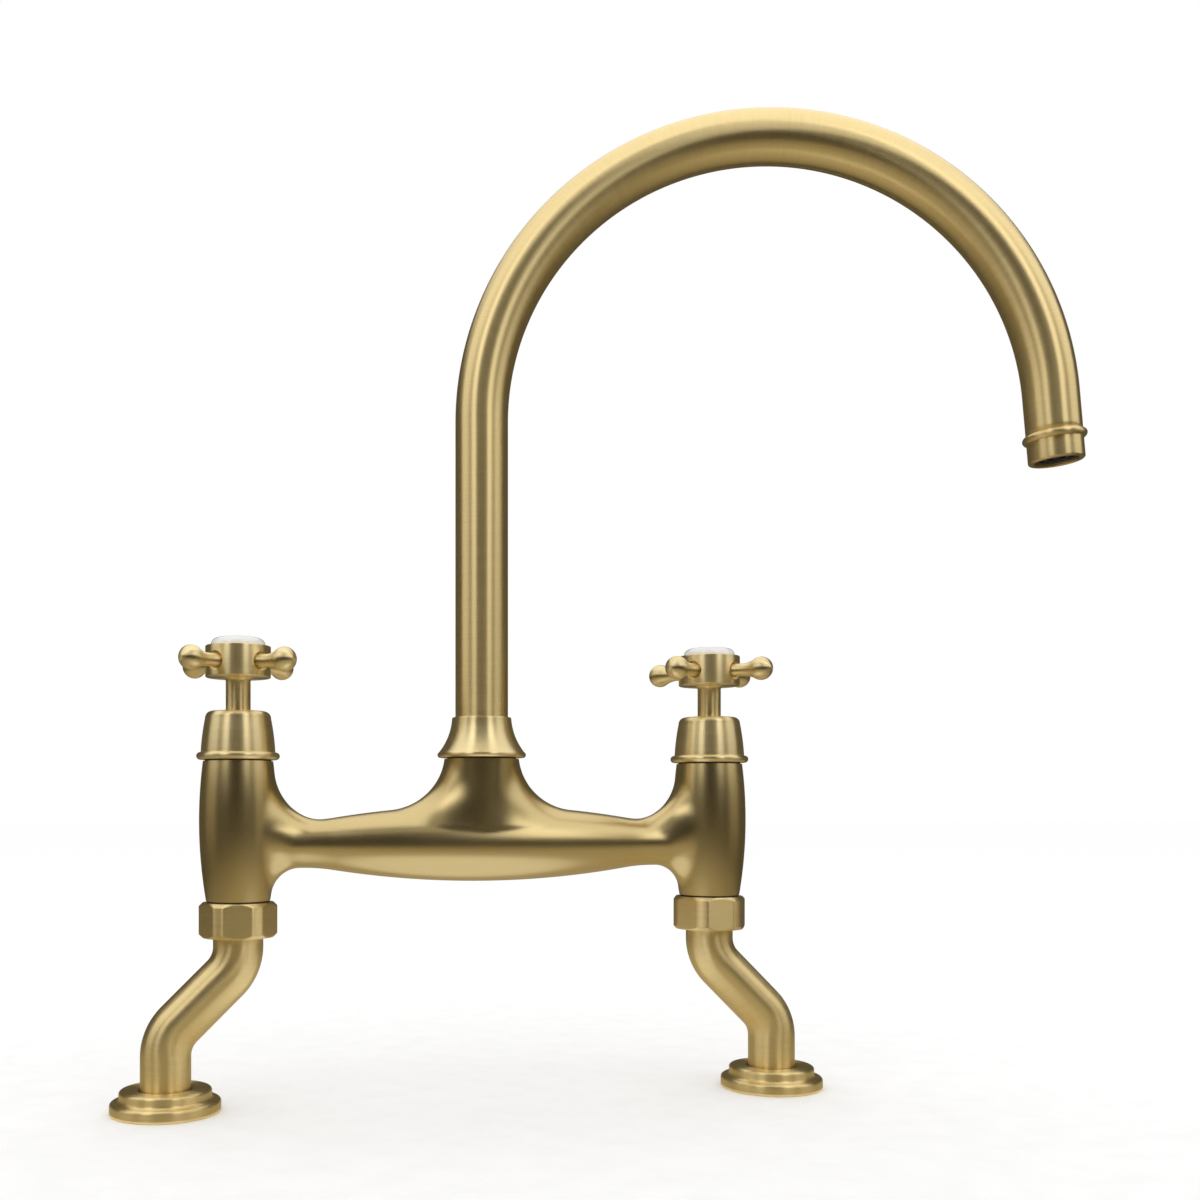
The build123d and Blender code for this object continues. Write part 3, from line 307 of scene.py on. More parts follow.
class TapView(bpy.types.PropertyGroup):
    """Camera and lamp"""

    turn: turn("Turn", "Camera's turn to the hot side", 10.6)
    distance: length("Distance", "Camera to the spout's axis", 541.1)
    side_step: length("Side step", "Camera's step to the right of that line", 2.55)
    height: length("Height", "Camera above the deck", 122.7)
    lens: FloatProperty(name="Lens", description="Focal length in mm", default=38.81, unit="CAMERA")
    shift_x: FloatProperty(name="Shift X", description="Camera shift", default=0.0935)
    shift_y: FloatProperty(name="Shift Y", description="Camera shift", default=0.1709)
    lamp_side: length("Lamp side", "Lamp to the right of the spout's axis", 100)
    lamp_height: length("Lamp height", "Lamp above the deck", 1800)
    lamp_size: length("Lamp size", "Width of the lamp", 2400)
    lamp_watts: FloatProperty(name="Lamp watts", description="Lamp's power", default=2.0, unit="POWER")


GROUPS = {
    "tap_casting": TapCasting,
    "tap_spout": TapSpout,
    "tap_aerator": TapAerator,
    "tap_collars": TapCollars,
    "tap_handles": TapHandles,
    "tap_legs": TapLegs,
    "tap_finish": TapFinish,
    "tap_view": TapView,
}


# Outlines and meshes


def circle_through(a, b, c):
    """Centre and radius of the circle through three points."""
    (ax, ay), (bx, by), (cx, cy) = a, b, c
    a_sq, b_sq, c_sq = ax**2 + ay**2, bx**2 + by**2, cx**2 + cy**2
    d = 2 * (ax * (by - cy) + bx * (cy - ay) + cx * (ay - by))
    x = (a_sq * (by - cy) + b_sq * (cy - ay) + c_sq * (ay - by)) / d
    y = (a_sq * (cx - bx) + b_sq * (ax - cx) + c_sq * (bx - ax)) / d
    return (x, y), math.hypot(ax - x, ay - y)


def arc_through(a, b, c, steps):
    """Points of the arc from a over b to c, both ends included."""
    (x, y), radius = circle_through(a, b, c)
    first, over, last = (math.atan2(p[1] - y, p[0] - x) for p in (a, b, c))
    sweep = (last - first) % math.tau
    if (over - first) % math.tau > sweep:
        sweep -= math.tau
    angles = [first + sweep * k / steps for k in range(steps + 1)]
    return [(x + radius * math.cos(t), y + radius * math.sin(t)) for t in angles]


def round_corner(r, z, radius, steps):
    """Quarter arc over the corner (r, z), from its side to its top."""
    inset = radius * (1 - math.sqrt(0.5))
    return arc_through((r, z - radius), (r - inset, z - inset), (r - radius, z), steps)


def rounded(corners, steps=5):
    """A closed outline from (r, z) corners. A third number rounds its corner by that radius."""
    points = []
    for k, corner in enumerate(corners):
        here = Vector(corner[:2])
        if len(corner) < 3:
            points.append(tuple(here))
            continue
        radius = corner[2]
        back = (Vector(corners[k - 1][:2]) - here).normalized()
        on = (Vector(corners[(k + 1) % len(corners)][:2]) - here).normalized()
        half = back.angle(on) / 2
        centre = here + (back + on).normalized() * radius / math.sin(half)
        middle = centre + (here - centre).normalized() * radius
        run = radius / math.tan(half)
        points += arc_through(here + back * run, middle, here + on * run, steps)
    return points


def even_angles(around):
    """Angles round a ring from the back, where the seam of its map is out of sight."""
    return np.arange(around) / around * math.tau + math.pi / 2


def grid_mesh(name, rings, closed, uv_along):
    """Mesh over a grid of rings, each a list of points. Rings are closed round the piece."""
    rings = np.asarray(rings, float)
    count, around = rings.shape[:2]
    faces, uvs = [], []
    for i in range(count if closed else count - 1):
        j = (i + 1) % count
        v0, v1 = uv_along[i], uv_along[i + 1]
        for k in range(around):
            m = (k + 1) % around
            faces.append((i * around + k, i * around + m, j * around + m, j * around + k))
            u0, u1 = k / around, (k + 1) / around
            uvs += [(u0, v0), (u1, v0), (u1, v1), (u0, v1)]
    mesh = bpy.data.meshes.new(name)
    mesh.from_pydata(rings.reshape(-1, 3).tolist(), [], faces)
    layer = mesh.uv_layers.new(name=BRUSH_MAP)
    layer.data.foreach_set("uv", np.asarray(uvs, np.float32).ravel())
    return mesh


def smoothed(mesh):
    """Smooths all but the sharp edges."""
    mesh.shade_smooth()
    mesh.set_sharp_from_angle(angle=SHARP)
    return mesh


def tidy(mesh):
    """Merges doubles, turns faces outwards and smooths all but the sharp edges."""
    bm = bmesh.new()
    bm.from_mesh(mesh)
    bmesh.ops.remove_doubles(bm, verts=bm.verts, dist=2e-7)
    bmesh.ops.recalc_face_normals(bm, faces=bm.faces)
    bm.to_mesh(mesh)
    bm.free()
    return smoothed(mesh)


def lathe(name, outline, place=None, closed=True, around=160, shape=None):
    """Turns an (r, z) outline about Z, then moves it by place. shape(angles, r) can cut the
    turned radius back, as the flats of a nut do."""
    outline = np.asarray(outline, float)
    angles = even_angles(around)
    radius = np.repeat(outline[:, :1], around, axis=1)
    if shape:
        radius = shape(angles, radius)
    height = np.broadcast_to(outline[:, 1:], radius.shape)
    rings = np.stack([radius * np.cos(angles), radius * np.sin(angles), height], axis=2)
    ends = np.vstack([outline, outline[:1]])
    along = np.concatenate([[0], np.cumsum(np.hypot(*np.diff(ends, axis=0).T))])
    mesh = grid_mesh(name, rings, closed, along)
    if place is not None:
        mesh.transform(place)
    return tidy(mesh)


def upright(x):
    """Place of a piece that is turned about the upright axis at x."""
    return Matrix.Translation((x, 0, 0))


def add_object(name, mesh, material):
    """Puts a mesh in the scene, with one material."""
    mesh.materials.clear()
    mesh.materials.append(material)
    obj = bpy.data.objects.new(name, mesh)
    bpy.context.scene.collection.objects.link(obj)
    return obj


def place_piece(name, mesh, body, material, slot, *nodes):
    """Puts a finished mesh on its body, in place of the packed nodes that it stands for."""
    obj = add_object(name, mesh, material)
    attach(obj, body)
    if nodes:
        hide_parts(*nodes)


def joined(name, *meshes):
    """One mesh from several, which it uses up."""
    bm = bmesh.new()
    for mesh in meshes:
        bm.from_mesh(mesh)
        bpy.data.meshes.remove(mesh)
    whole = bpy.data.meshes.new(name)
    bm.to_mesh(whole)
    bm.free()
    whole.set_sharp_from_angle(angle=SHARP)
    return whole


def discard(obj):
    """Takes an object and its mesh out of the scene."""
    mesh = obj.data
    bpy.data.objects.remove(obj)
    bpy.data.meshes.remove(mesh)


def baked(obj, name):
    """Plain mesh of an object with its modifiers, which then leaves the scene."""
    bpy.context.view_layer.update()
    graph = bpy.context.evaluated_depsgraph_get()
    mesh = bpy.data.meshes.new_from_object(obj.evaluated_get(graph))
    mesh.name = name
    discard(obj)
    return mesh


def strip(name, pairs):
    """Ribbon of faces between two rows of points."""
    faces = [(k, k + 2, k + 3, k + 1) for k in range(0, 2 * len(pairs) - 2, 2)]
    mesh = bpy.data.meshes.new(name)
    mesh.from_pydata([point for pair in pairs for point in pair], [], faces)
    return mesh


# Node trees


def add_node(tree, kind, inputs=None, **settings):
    """New node with its settings. Each input is linked to a socket or set to a value."""
    node = tree.nodes.new(kind)
    for key, value in settings.items():
        setattr(node, key, value)
    for key, value in (inputs or {}).items():
        if isinstance(value, bpy.types.NodeSocket):
            tree.links.new(value, node.inputs[key])
        else:
            node.inputs[key].default_value = value
    return node


def maths(tree):
    """Function that adds a math node to the tree and gives its output."""

    def put(operation, *values):
        inputs = dict(enumerate(values))
        return add_node(tree, "ShaderNodeMath", inputs, operation=operation).outputs[0]

    return put


def new_tree(name, kind, inputs, outputs):
    """New node tree, what it is given and what it makes, from rows of name, type and default."""
    tree = bpy.data.node_groups.new(name, kind)
    for in_out, rows in (("INPUT", inputs), ("OUTPUT", outputs)):
        for key, sort, *default in rows:
            socket = tree.interface.new_socket(key, in_out=in_out, socket_type=f"NodeSocket{sort}")
            if default:
                socket.default_value = default[0]
    return tree, tree.nodes.new("NodeGroupInput").outputs, tree.nodes.new("NodeGroupOutput").inputs


def made_once(build):
    """Lets a function that makes a node tree find it again by the function's name."""

    @functools.wraps(build)
    def find():
        return bpy.data.node_groups.get(build.__name__) or build(build.__name__)

    return find


# Materials

SURFACE = [("Colour", "Color"), ("Roughness", "Float"), ("Height", "Float")]
SWING = 4.0  # noise swings by about a quarter to each side, which this brings to about one
DRIFT_SHARE = 0.3  # part of the brushing that is a slow drift, where the rest is fine marks
DRIFT_STRETCH = (0.7, 0.7, 0.16)  # scale of that drift round a piece and along it


def noise(tree, vector, scale, detail, roughness=0.55):
    """Adds a noise texture and gives its output."""
    inputs = {"Vector": vector, "Scale": scale, "Detail": detail, "Roughness": roughness}
    return add_node(tree, "ShaderNodeTexNoise", inputs).outputs["Fac"]


def surface_out(tree, given, made, rough, tint, height):
    """Ends a shared group: two patterns that swing about nought vary its roughness and colour."""
    put = maths(tree)
    spread = put("MULTIPLY", put("MULTIPLY", rough, given["Roughness spread"]), SWING)
    tone = put("ADD", put("MULTIPLY", tint, given["Tone spread"]), 1.0)
    inputs = {0: given["Colour"], "Scale": tone}
    colour = add_node(tree, "ShaderNodeVectorMath", inputs, operation="SCALE")
    tree.links.new(put("ADD", given["Roughness"], spread), made["Roughness"])
    tree.links.new(colour.outputs[0], made["Colour"])
    tree.links.new(height, made["Height"])


@made_once
def brush_marks(name):
    """Fine marks that run round a turned piece: read from its brush map, without a seam."""
    inputs = [
        ("Colour", "Color", (0.8, 0.6, 0.3, 1)),
        ("Marks per metre", "Float", 2600.0),
        ("Roughness", "Float", 0.33),
        ("Roughness spread", "Float", 0.05),
        ("Tone spread", "Float", 0.08),
    ]
    tree, given, made = new_tree(name, "ShaderNodeTree", inputs, SURFACE)
    put = maths(tree)
    uv = add_node(tree, "ShaderNodeUVMap", uv_map=BRUSH_MAP)
    parts = add_node(tree, "ShaderNodeSeparateXYZ", {0: uv.outputs["UV"]}).outputs
    angle = put("MULTIPLY", parts["X"], math.tau)
    along = put("MULTIPLY", parts["Y"], given["Marks per metre"])
    ring = {"X": put("COSINE", angle), "Y": put("SINE", angle), "Z": along}
    spot = add_node(tree, "ShaderNodeCombineXYZ", ring).outputs[0]
    marks = noise(tree, spot, scale=1.0, detail=3.0, roughness=0.65)
    stretch = {0: spot, 1: DRIFT_STRETCH}
    wide = add_node(tree, "ShaderNodeVectorMath", stretch, operation="MULTIPLY").outputs[0]
    drift = noise(tree, wide, scale=1.0, detail=2.0)
    both = put("ADD", put("MULTIPLY", marks, 1 - DRIFT_SHARE), put("MULTIPLY", drift, DRIFT_SHARE))
    signed = put("SUBTRACT", both, 0.5)
    surface_out(tree, given, made, signed, put("MULTIPLY", signed, SWING), marks)
    return tree


@made_once
def soft_grain(name):
    """Soft cloudy change and a fine grain, for cast, moulded and rubber surfaces."""
    inputs = [
        ("Colour", "Color", (0.8, 0.8, 0.8, 1)),
        ("Cloud scale", "Float", 60.0),
        ("Grain scale", "Float", 1800.0),
        ("Roughness", "Float", 0.4),
        ("Roughness spread", "Float", 0.06),
        ("Tone spread", "Float", 0.05),
    ]
    tree, given, made = new_tree(name, "ShaderNodeTree", inputs, SURFACE)
    put = maths(tree)
    place = tree.nodes.new("ShaderNodeTexCoord").outputs["Object"]
    cloud = put("SUBTRACT", noise(tree, place, given["Cloud scale"], detail=3.0), 0.5)
    grain = noise(tree, place, given["Grain scale"], detail=2.0)
    both = put("ADD", cloud, put("SUBTRACT", grain, 0.5))
    surface_out(tree, given, made, cloud, put("MULTIPLY", both, SWING / 2), grain)
    return tree


def surfaced(name, group, colour, values, sockets, bump, depth):
    """Material whose colour, roughness and relief come from a shared group, made once.
    sockets are plain numbers on the shader itself."""
    material = bpy.data.materials.get(name)
    if material:
        return material
    material = bpy.data.materials.new(name)
    material.use_nodes = True
    tree = material.node_tree
    shader = tree.nodes["Principled BSDF"].inputs
    for key, value in sockets.items():
        shader[key].default_value = value
    values = {"Colour": (*colour, 1), **values}
    made = add_node(tree, "ShaderNodeGroup", values, node_tree=group).outputs
    inputs = {"Strength": bump, "Distance": depth, "Height": made["Height"]}
    relief = add_node(tree, "ShaderNodeBump", inputs)
    tree.links.new(made["Colour"], shader["Base Color"])
    tree.links.new(made["Roughness"], shader["Roughness"])
    tree.links.new(relief.outputs["Normal"], shader["Normal"])
    return material


def brushed_brass(name, colour, roughness):
    """Brass brushed round its axis, so that bands of light stay crisp along it."""
    sockets = {"Metallic": 1.0, "Anisotropic": 0.9, "Anisotropic Rotation": 0.25}
    values = {"Roughness": roughness}
    material = surfaced(name, brush_marks(), colour, values, sockets, bump=0.12, depth=0.05 * MM)
    tree = material.node_tree
    along = tree.nodes["Principled BSDF"].inputs["Tangent"]
    if not along.is_linked:
        tangent = add_node(tree, "ShaderNodeTangent", direction_type="UV_MAP", uv_map=BRUSH_MAP)
        tree.links.new(tangent.outputs["Tangent"], along)
    return material


def tube_brass(finish):
    """Brass of the bent tubes, the nuts and the flanges."""
    return brushed_brass("brushed_tube_brass", finish.tube, finish.tube_roughness)


def turned_brass(finish):
    """Paler brass of the bonnets, the collar and the handles."""
    return brushed_brass("turned_brass", finish.turned, finish.turned_roughness)


def cast_brass(finish):
    """Cast brass with an even satin finish. Its colour, darker than the tube and turned brass, is partly
    the casting's own tone and partly painted shade.
    """
    values = {"Roughness": finish.cast_roughness, "Roughness spread": 0.012, "Tone spread": 0.03}
    sockets = {"Metallic": 1.0}
    return surfaced(
        "satin_cast_brass", soft_grain(), finish.cast, values, sockets, bump=0.05, depth=0.03 * MM
    )


def porcelain(finish):
    """White porcelain under a clear gloss glaze."""
    sockets = {
        "Coat Weight": 0.6,
        "Coat Roughness": 0.04,
        "Subsurface Weight": 0.08,
        "Subsurface Radius": (2 * MM, 1.8 * MM, 1.5 * MM),
        "Subsurface Scale": 1.0,
    }
    values = {"Roughness": 0.16, "Roughness spread": 0.02, "Tone spread": 0.012, "Grain scale": 700.0}
    return surfaced(
        "glazed_porcelain", soft_grain(), finish.glaze, values, sockets, bump=0.03, depth=0.03 * MM
    )


def plain_finish(name, colour, roughness, bump=0.15, **sockets):
    """Moulded, rubber or machined surface with its own grain."""
    values = {"Roughness": roughness, "Grain scale": 1500.0}
    return surfaced(name, soft_grain(), colour, values, sockets, bump, depth=0.05 * MM)


def black_rubber(finish):
    """Dull black rubber of the seals, and of the rings of painted shade in the joint lines."""
    return plain_finish("black_rubber", finish.rubber, roughness=0.62)


def aerator_plastic(finish):
    """Dark moulded plastic of the aerator."""
    return plain_finish("aerator_plastic", finish.aerator, roughness=0.42)


# Bridge casting

BOSS_FADE = 8 * MM  # rise above the bridge axis in which the boss's blend sets in
LIFT = 6 * MM  # above and below the axis, where a pillar's lower blend turns into its upper
PILLAR_FADE = (2 * MM, 8 * MM)  # from a pillar's axis, where its blend sets in
SPARE = 4 * MM  # what the rough casting has to be cut off its ends
LEAN = (-0.3, 0.97)  # bounds on the cosine between two outward directions, which keep a fillet finite


def eased(value, start, end):
    """0 before start, 1 after end, and a soft step between them."""
    part = np.clip((value - start) / (end - start), 0, 1)
    return part * part * (3 - 2 * part)


def ring_out(a, b):
    """Distance of points from an axis, and their directions straight out from it."""
    ring = np.maximum(np.hypot(a, b), 1e-9)
    return ring, a / ring, b / ring


def rolled_union(a, out_a, b, out_b, ball):
    """Distance to two shapes and the fillet that a rolling ball leaves between them.
    out_a and out_b are the directions straight out of each shape."""
    lean = np.clip((out_a * out_b).sum(1), *LEAN)
    to_a, to_b = ball - a, ball - b
    reach = np.maximum(to_a**2 + to_b**2 - 2 * lean * to_a * to_b, 0) / (1 - lean**2)
    apart = (to_b <= lean * to_a) | (to_a <= lean * to_b) | ((to_a <= 0) & (to_b <= 0))
    return np.where(apart, np.minimum(a, b), ball - np.sqrt(reach))


class BridgeShape:
    """The casting as a distance: a swelling spindle with a boss and two barrel-shaped pillars"""

    def __init__(self, cast):
        self.cast = cast
        self.half = (PILLAR_X["cold"] - PILLAR_X["hot"]) / 2
        self.foot = NUT_HIGH + cast.foot_gap
        self.level = self.foot + cast.axis_rise
        self.neck_x = self.half - cast.neck_reach
        swell = 2 * math.atan((cast.belly_radius - cast.neck_radius) / self.neck_x)
        self.belly_x = cast.belly_arc * math.sin(swell)
        self.hollow = (self.neck_x - self.belly_x) / math.sin(swell)
        self.heart, self.bow = circle_through(
            (cast.pillar_top, PILLAR_TOP),
            (cast.pillar_belly, self.foot + cast.pillar_belly_rise),
            (cast.pillar_foot, self.foot),
        )
        self.taper = (cast.boss_top - cast.boss_root) / (BOSS_TOP - self.level)

    def spindle_radius(self, x):
        """Radius along the bridge: the belly's arc, a hollow arc, and the even neck."""
        x, cast = np.abs(x), self.cast
        drop = cast.belly_arc - np.sqrt(np.maximum(cast.belly_arc**2 - x**2, 0))
        rise = self.hollow - np.sqrt(np.maximum(self.hollow**2 - (self.neck_x - x) ** 2, 0))
        waist = np.where(x < self.neck_x, cast.neck_radius + rise, cast.neck_radius)
        return np.where(x < self.belly_x, cast.belly_radius - drop, waist)

    def pillar_radius(self, z):
        """Radius up a pillar, on one arc."""
        return self.heart[0] + np.sqrt(np.maximum(self.bow**2 - (z - self.heart[1]) ** 2, 0))

    def distance(self, points):
        """How far points lie outside the casting."""
        x, y, z = points.T
        cast, half, up = self.cast, self.half, z - self.level
        from_half = np.abs(x) - half
        nought = np.zeros_like(x)
        ring, out_y, out_z = ring_out(y, up)
        spindle = ring - self.spindle_radius(x)
        spindle_out = np.stack([nought, out_y, out_z], axis=1)
        ring, out_x, out_y = ring_out(x, y)
        boss = ring - (cast.boss_root + self.taper * up)
        boss_out = np.stack([out_x, out_y, nought], axis=1)
        ring, out_x, out_y = ring_out(from_half, y)
        pillar = ring - self.pillar_radius(z)
        pillar_out = np.stack([out_x, out_y, nought], axis=1)
        # Each blend dies out where the parts pass through each other: the boss has none below
        # the axis, and a pillar none behind its middle
        boss_ball = cast.boss_blend * eased(up, 0, BOSS_FADE) + SNUG
        pillar_ball = cast.lower_blend + (cast.upper_blend - cast.lower_blend) * eased(up, -LIFT, LIFT)
        pillar_ball = pillar_ball * eased(-from_half, *PILLAR_FADE) + SNUG
        boss = np.where(up < 0, np.maximum(boss, spindle + SNUG), boss)
        end = np.where(from_half > 0, np.maximum(spindle, pillar + SNUG), spindle)
        middle = rolled_union(spindle, spindle_out, boss, boss_out, boss_ball)
        ends = rolled_union(end, spindle_out, pillar, pillar_out, pillar_ball)
        return np.where(np.abs(x) < half / 2, middle, ends)

    def rough(self):
        """Spindle, boss and pillars as plain turned meshes that pass through each other."""
        cast, level, half = self.cast, self.level, self.half
        xs = np.linspace(-half, half, 121)
        spindle = [(0, -half), *zip(self.spindle_radius(xs), xs), (0, half)]
        lie = Matrix.Translation((0, 0, level)) @ ALONG_X
        top = BOSS_TOP + SPARE
        boss = [(0, level), (cast.boss_root, level), (cast.boss_top, top), (0, top)]
        zs = np.linspace(self.foot - SPARE, PILLAR_TOP + SPARE, 41)
        pillar = [(0, zs[0]), *zip(self.pillar_radius(zs), zs), (0, zs[-1])]
        turned = [(spindle, lie), (boss, upright(0))]
        turned += [(pillar, upright(x)) for x in PILLAR_X.values()]
        meshes = [lathe("rough", outline, place, False, SLIM) for outline, place in turned]
        return joined("rough_bridge", *meshes)


def settle(points, edges, distance, rounds=12, steps=3, ease=0.6):
    """Moves points on to the surface where distance is nought, and evens them out along it."""
    nudge, least_slope = 0.01 * MM, 0.05
    pairs = np.vstack([edges, edges[:, ::-1]])
    count = len(points)
    shares = np.bincount(pairs[:, 0], minlength=count)[:, None]
    for number in range(rounds):
        if number:
            totals = [np.bincount(pairs[:, 0], points[pairs[:, 1], k], count) for k in range(3)]
            points = points + ease * (np.stack(totals, axis=1) / shares - points)
        for _ in range(steps):
            out = distance(points)
            slopes = [distance(points + step) - distance(points - step) for step in nudge * np.eye(3)]
            slope = np.stack(slopes, axis=1) / (2 * nudge)
            steepness = np.maximum((slope**2).sum(1), least_slope)
            points = points - (out / steepness)[:, None] * slope
    return points


def cut_end(bm, faces, height, upwards):
    """Cuts the given faces off at a height and caps the cut."""
    edges = {edge for face in faces for edge in face.edges}
    verts = {vert for face in faces for vert in face.verts}
    cut = bmesh.ops.bisect_plane(
        bm,
        geom=[*edges, *verts, *faces],
        dist=1e-7,
        plane_co=(0, 0, height),
        plane_no=(0, 0, 1 if upwards else -1),
        clear_outer=True,
    )
    rim = [e for e in cut["geom_cut"] if isinstance(e, bmesh.types.BMEdge)]
    bmesh.ops.holes_fill(bm, edges=rim, sides=0)


def bridge_mesh(cast, brass):
    """Casting with its rolled blends, cut level at its ends, on the two threads under it."""
    shape = BridgeShape(cast)
    obj = add_object("rough_bridge", shape.rough(), brass)
    remesh = obj.modifiers.new("remesh", "REMESH")
    remesh.mode = "VOXEL"
    remesh.voxel_size = cast.grain
    mesh = baked(obj, "bridge_casting")
    points = np.empty(len(mesh.vertices) * 3, np.float32)
    mesh.vertices.foreach_get("co", points)
    edges = np.empty(len(mesh.edges) * 2, np.int32)
    mesh.edges.foreach_get("vertices", edges)
    points = settle(points.reshape(-1, 3).astype(float), edges.reshape(-1, 2), shape.distance)
    mesh.vertices.foreach_set("co", points.astype(np.float32).ravel())

    bm = bmesh.new()
    bm.from_mesh(mesh)
    middle = [f for f in bm.faces if abs(f.calc_center_median().x) < shape.half / 2]
    cut_end(bm, middle, BOSS_TOP, True)
    for sign in (-1, 1):
        for height, upwards in ((PILLAR_TOP, True), (shape.foot - cast.foot_reach, False)):
            ends = [f for f in bm.faces if sign * f.calc_center_median().x > shape.neck_x]
            cut_end(bm, ends, height, upwards)
    bmesh.ops.recalc_face_normals(bm, faces=bm.faces)
    bm.to_mesh(mesh)
    bm.free()
    smoothed(mesh).uv_layers.new(name=BRUSH_MAP)

    inner, base, top = cast.spigot - cast.spigot_wall, high("hot_union_washer").z, shape.foot + MM
    thread = [(inner, base), (cast.spigot, base), (cast.spigot, top), (inner, top)]
    spigots = [lathe("spigot", thread, upright(x), around=TUBE) for x in PILLAR_X.values()]
    return joined("bridge_casting", mesh, *spigots)


# Bent tubes and copies round an axis


def dress(tree, shape, given, made):
    """Ends a geometry tree: real mesh, with the given material."""
    real = add_node(tree, "GeometryNodeRealizeInstances", {"Geometry": shape}).outputs[0]
    inputs = {"Geometry": real, "Material": given["Material"]}
    dressed = add_node(tree, "GeometryNodeSetMaterial", inputs)
    tree.links.new(dressed.outputs[0], made["Geometry"])


@made_once
def swan_neck(name):
    """Tube that runs straight up, round an arch and straight on, in an upright plane."""
    sizes = ("Riser", "Arch radius", "Arch sweep", "Outlet run", "Swing", "Foot height", "Tube radius")
    inputs = [(key, "Float") for key in sizes]
    inputs += [("Steps", "Int"), ("Sides", "Int"), ("Material", "Material")]
    tree, given, made = new_tree(name, "GeometryNodeTree", inputs, [("Geometry", "Geometry")])
    put = maths(tree)
    line = add_node(tree, "GeometryNodeCurvePrimitiveLine").outputs["Curve"]
    line = add_node(tree, "GeometryNodeResampleCurve", {"Curve": line, "Count": given["Steps"]})
    factor = add_node(tree, "GeometryNodeSplineParameter").outputs["Factor"]

    arc = put("MULTIPLY", given["Arch radius"], given["Arch sweep"])
    to_end = put("ADD", given["Riser"], arc)
    run = put("MULTIPLY", factor, put("ADD", to_end, given["Outlet run"]))
    bent = put("DIVIDE", put("SUBTRACT", run, given["Riser"]), given["Arch radius"])
    bent = put("MINIMUM", put("MAXIMUM", bent, 0.0), given["Arch sweep"])
    past = put("MAXIMUM", put("SUBTRACT", run, to_end), 0.0)
    reach = put("SUBTRACT", 1.0, put("COSINE", bent))
    reach = put("MULTIPLY", reach, given["Arch radius"])
    reach = put("ADD", reach, put("MULTIPLY", past, put("SINE", given["Arch sweep"])))
    rise = put("ADD", put("MINIMUM", run, given["Riser"]), given["Foot height"])
    rise = put("ADD", rise, put("MULTIPLY", put("SINE", bent), given["Arch radius"]))
    rise = put("ADD", rise, put("MULTIPLY", past, put("COSINE", given["Arch sweep"])))
    side = put("MULTIPLY", reach, put("COSINE", given["Swing"]))
    front = put("MULTIPLY", reach, put("SINE", given["Swing"]))
    spot = {"X": side, "Y": put("MULTIPLY", front, -1.0), "Z": rise}
    spot = add_node(tree, "ShaderNodeCombineXYZ", spot).outputs[0]

    path = {"Geometry": line.outputs["Curve"], "Position": spot}
    path = add_node(tree, "GeometryNodeSetPosition", path).outputs["Geometry"]
    ring = {"Resolution": given["Sides"], "Radius": given["Tube radius"]}
    ring = add_node(tree, "GeometryNodeCurvePrimitiveCircle", ring).outputs["Curve"]
    skin = add_node(tree, "GeometryNodeCurveToMesh", {"Curve": path, "Profile Curve": ring})
    dress(tree, skin.outputs["Mesh"], given, made)
    return tree


@made_once
def round_about(name):
    """Copies of a shape set evenly round the Z axis, from a first angle, at a given place."""
    inputs = [
        ("Geometry", "Geometry"),
        ("Count", "Int"),
        ("First angle", "Float"),
        ("Place", "Vector"),
        ("Material", "Material"),
    ]
    tree, given, made = new_tree(name, "GeometryNodeTree", inputs, [("Geometry", "Geometry")])
    put = maths(tree)
    spots = {"Count": given["Count"], "Position": given["Place"]}
    spots = add_node(tree, "GeometryNodePoints", spots).outputs[0]
    number = add_node(tree, "GeometryNodeInputIndex").outputs[0]
    angle = put("MULTIPLY", number, put("DIVIDE", math.tau, given["Count"]))
    angle = put("ADD", angle, given["First angle"])
    spin = add_node(tree, "ShaderNodeCombineXYZ", {"Z": angle}).outputs[0]
    copies = {"Points": spots, "Instance": given["Geometry"], "Rotation": spin}
    copies = add_node(tree, "GeometryNodeInstanceOnPoints", copies)
    dress(tree, copies.outputs[0], given, made)
    return tree


def grown(name, tree, values, start=None):
    """Plain mesh that a node tree makes from its named inputs."""
    obj = bpy.data.objects.new(name, start or bpy.data.meshes.new(name))
    bpy.context.scene.collection.objects.link(obj)
    modifier = obj.modifiers.new(name, "NODES")
    modifier.node_group = tree
    for item in tree.interface.items_tree:
        if item.in_out == "INPUT" and item.name in values:
            modifier[item.identifier] = values[item.name]
    return baked(obj, name)


def copies_round(name, shape, count, material, first=0.0, place=(0, 0, 0)):
    """Copies of a mesh round an upright axis through a place, as one plain mesh."""
    values = {"Count": count, "First angle": first, "Place": place, "Material": material}
    return grown(name, round_about(), values, shape)


def tube_uv(mesh, steps, sides, whole):
    """Brush map of a tube whose points run ring by ring."""
    layer = mesh.uv_layers.new(name=BRUSH_MAP)
    corner = np.empty(len(mesh.loops), np.int32)
    mesh.loops.foreach_get("vertex_index", corner)
    turns = ((corner % sides) / sides).reshape(-1, 4)
    along = ((corner // sides) / (steps - 1) * whole).reshape(-1, 4)
    across_seam = np.ptp(turns, axis=1, keepdims=True) > 0.5
    turns = np.where(across_seam & (turns < 0.5), turns + 1, turns)
    layer.data.foreach_set("uv", np.stack([turns, along], axis=2).astype(np.float32).ravel())


def walled(name, mesh, wall, material):
    """Gives a tube's skin its wall, inwards."""
    obj = add_object(name, mesh, material)
    solid = obj.modifiers.new("wall", "SOLIDIFY")
    solid.thickness = wall
    solid.offset = -1
    return baked(obj, name)


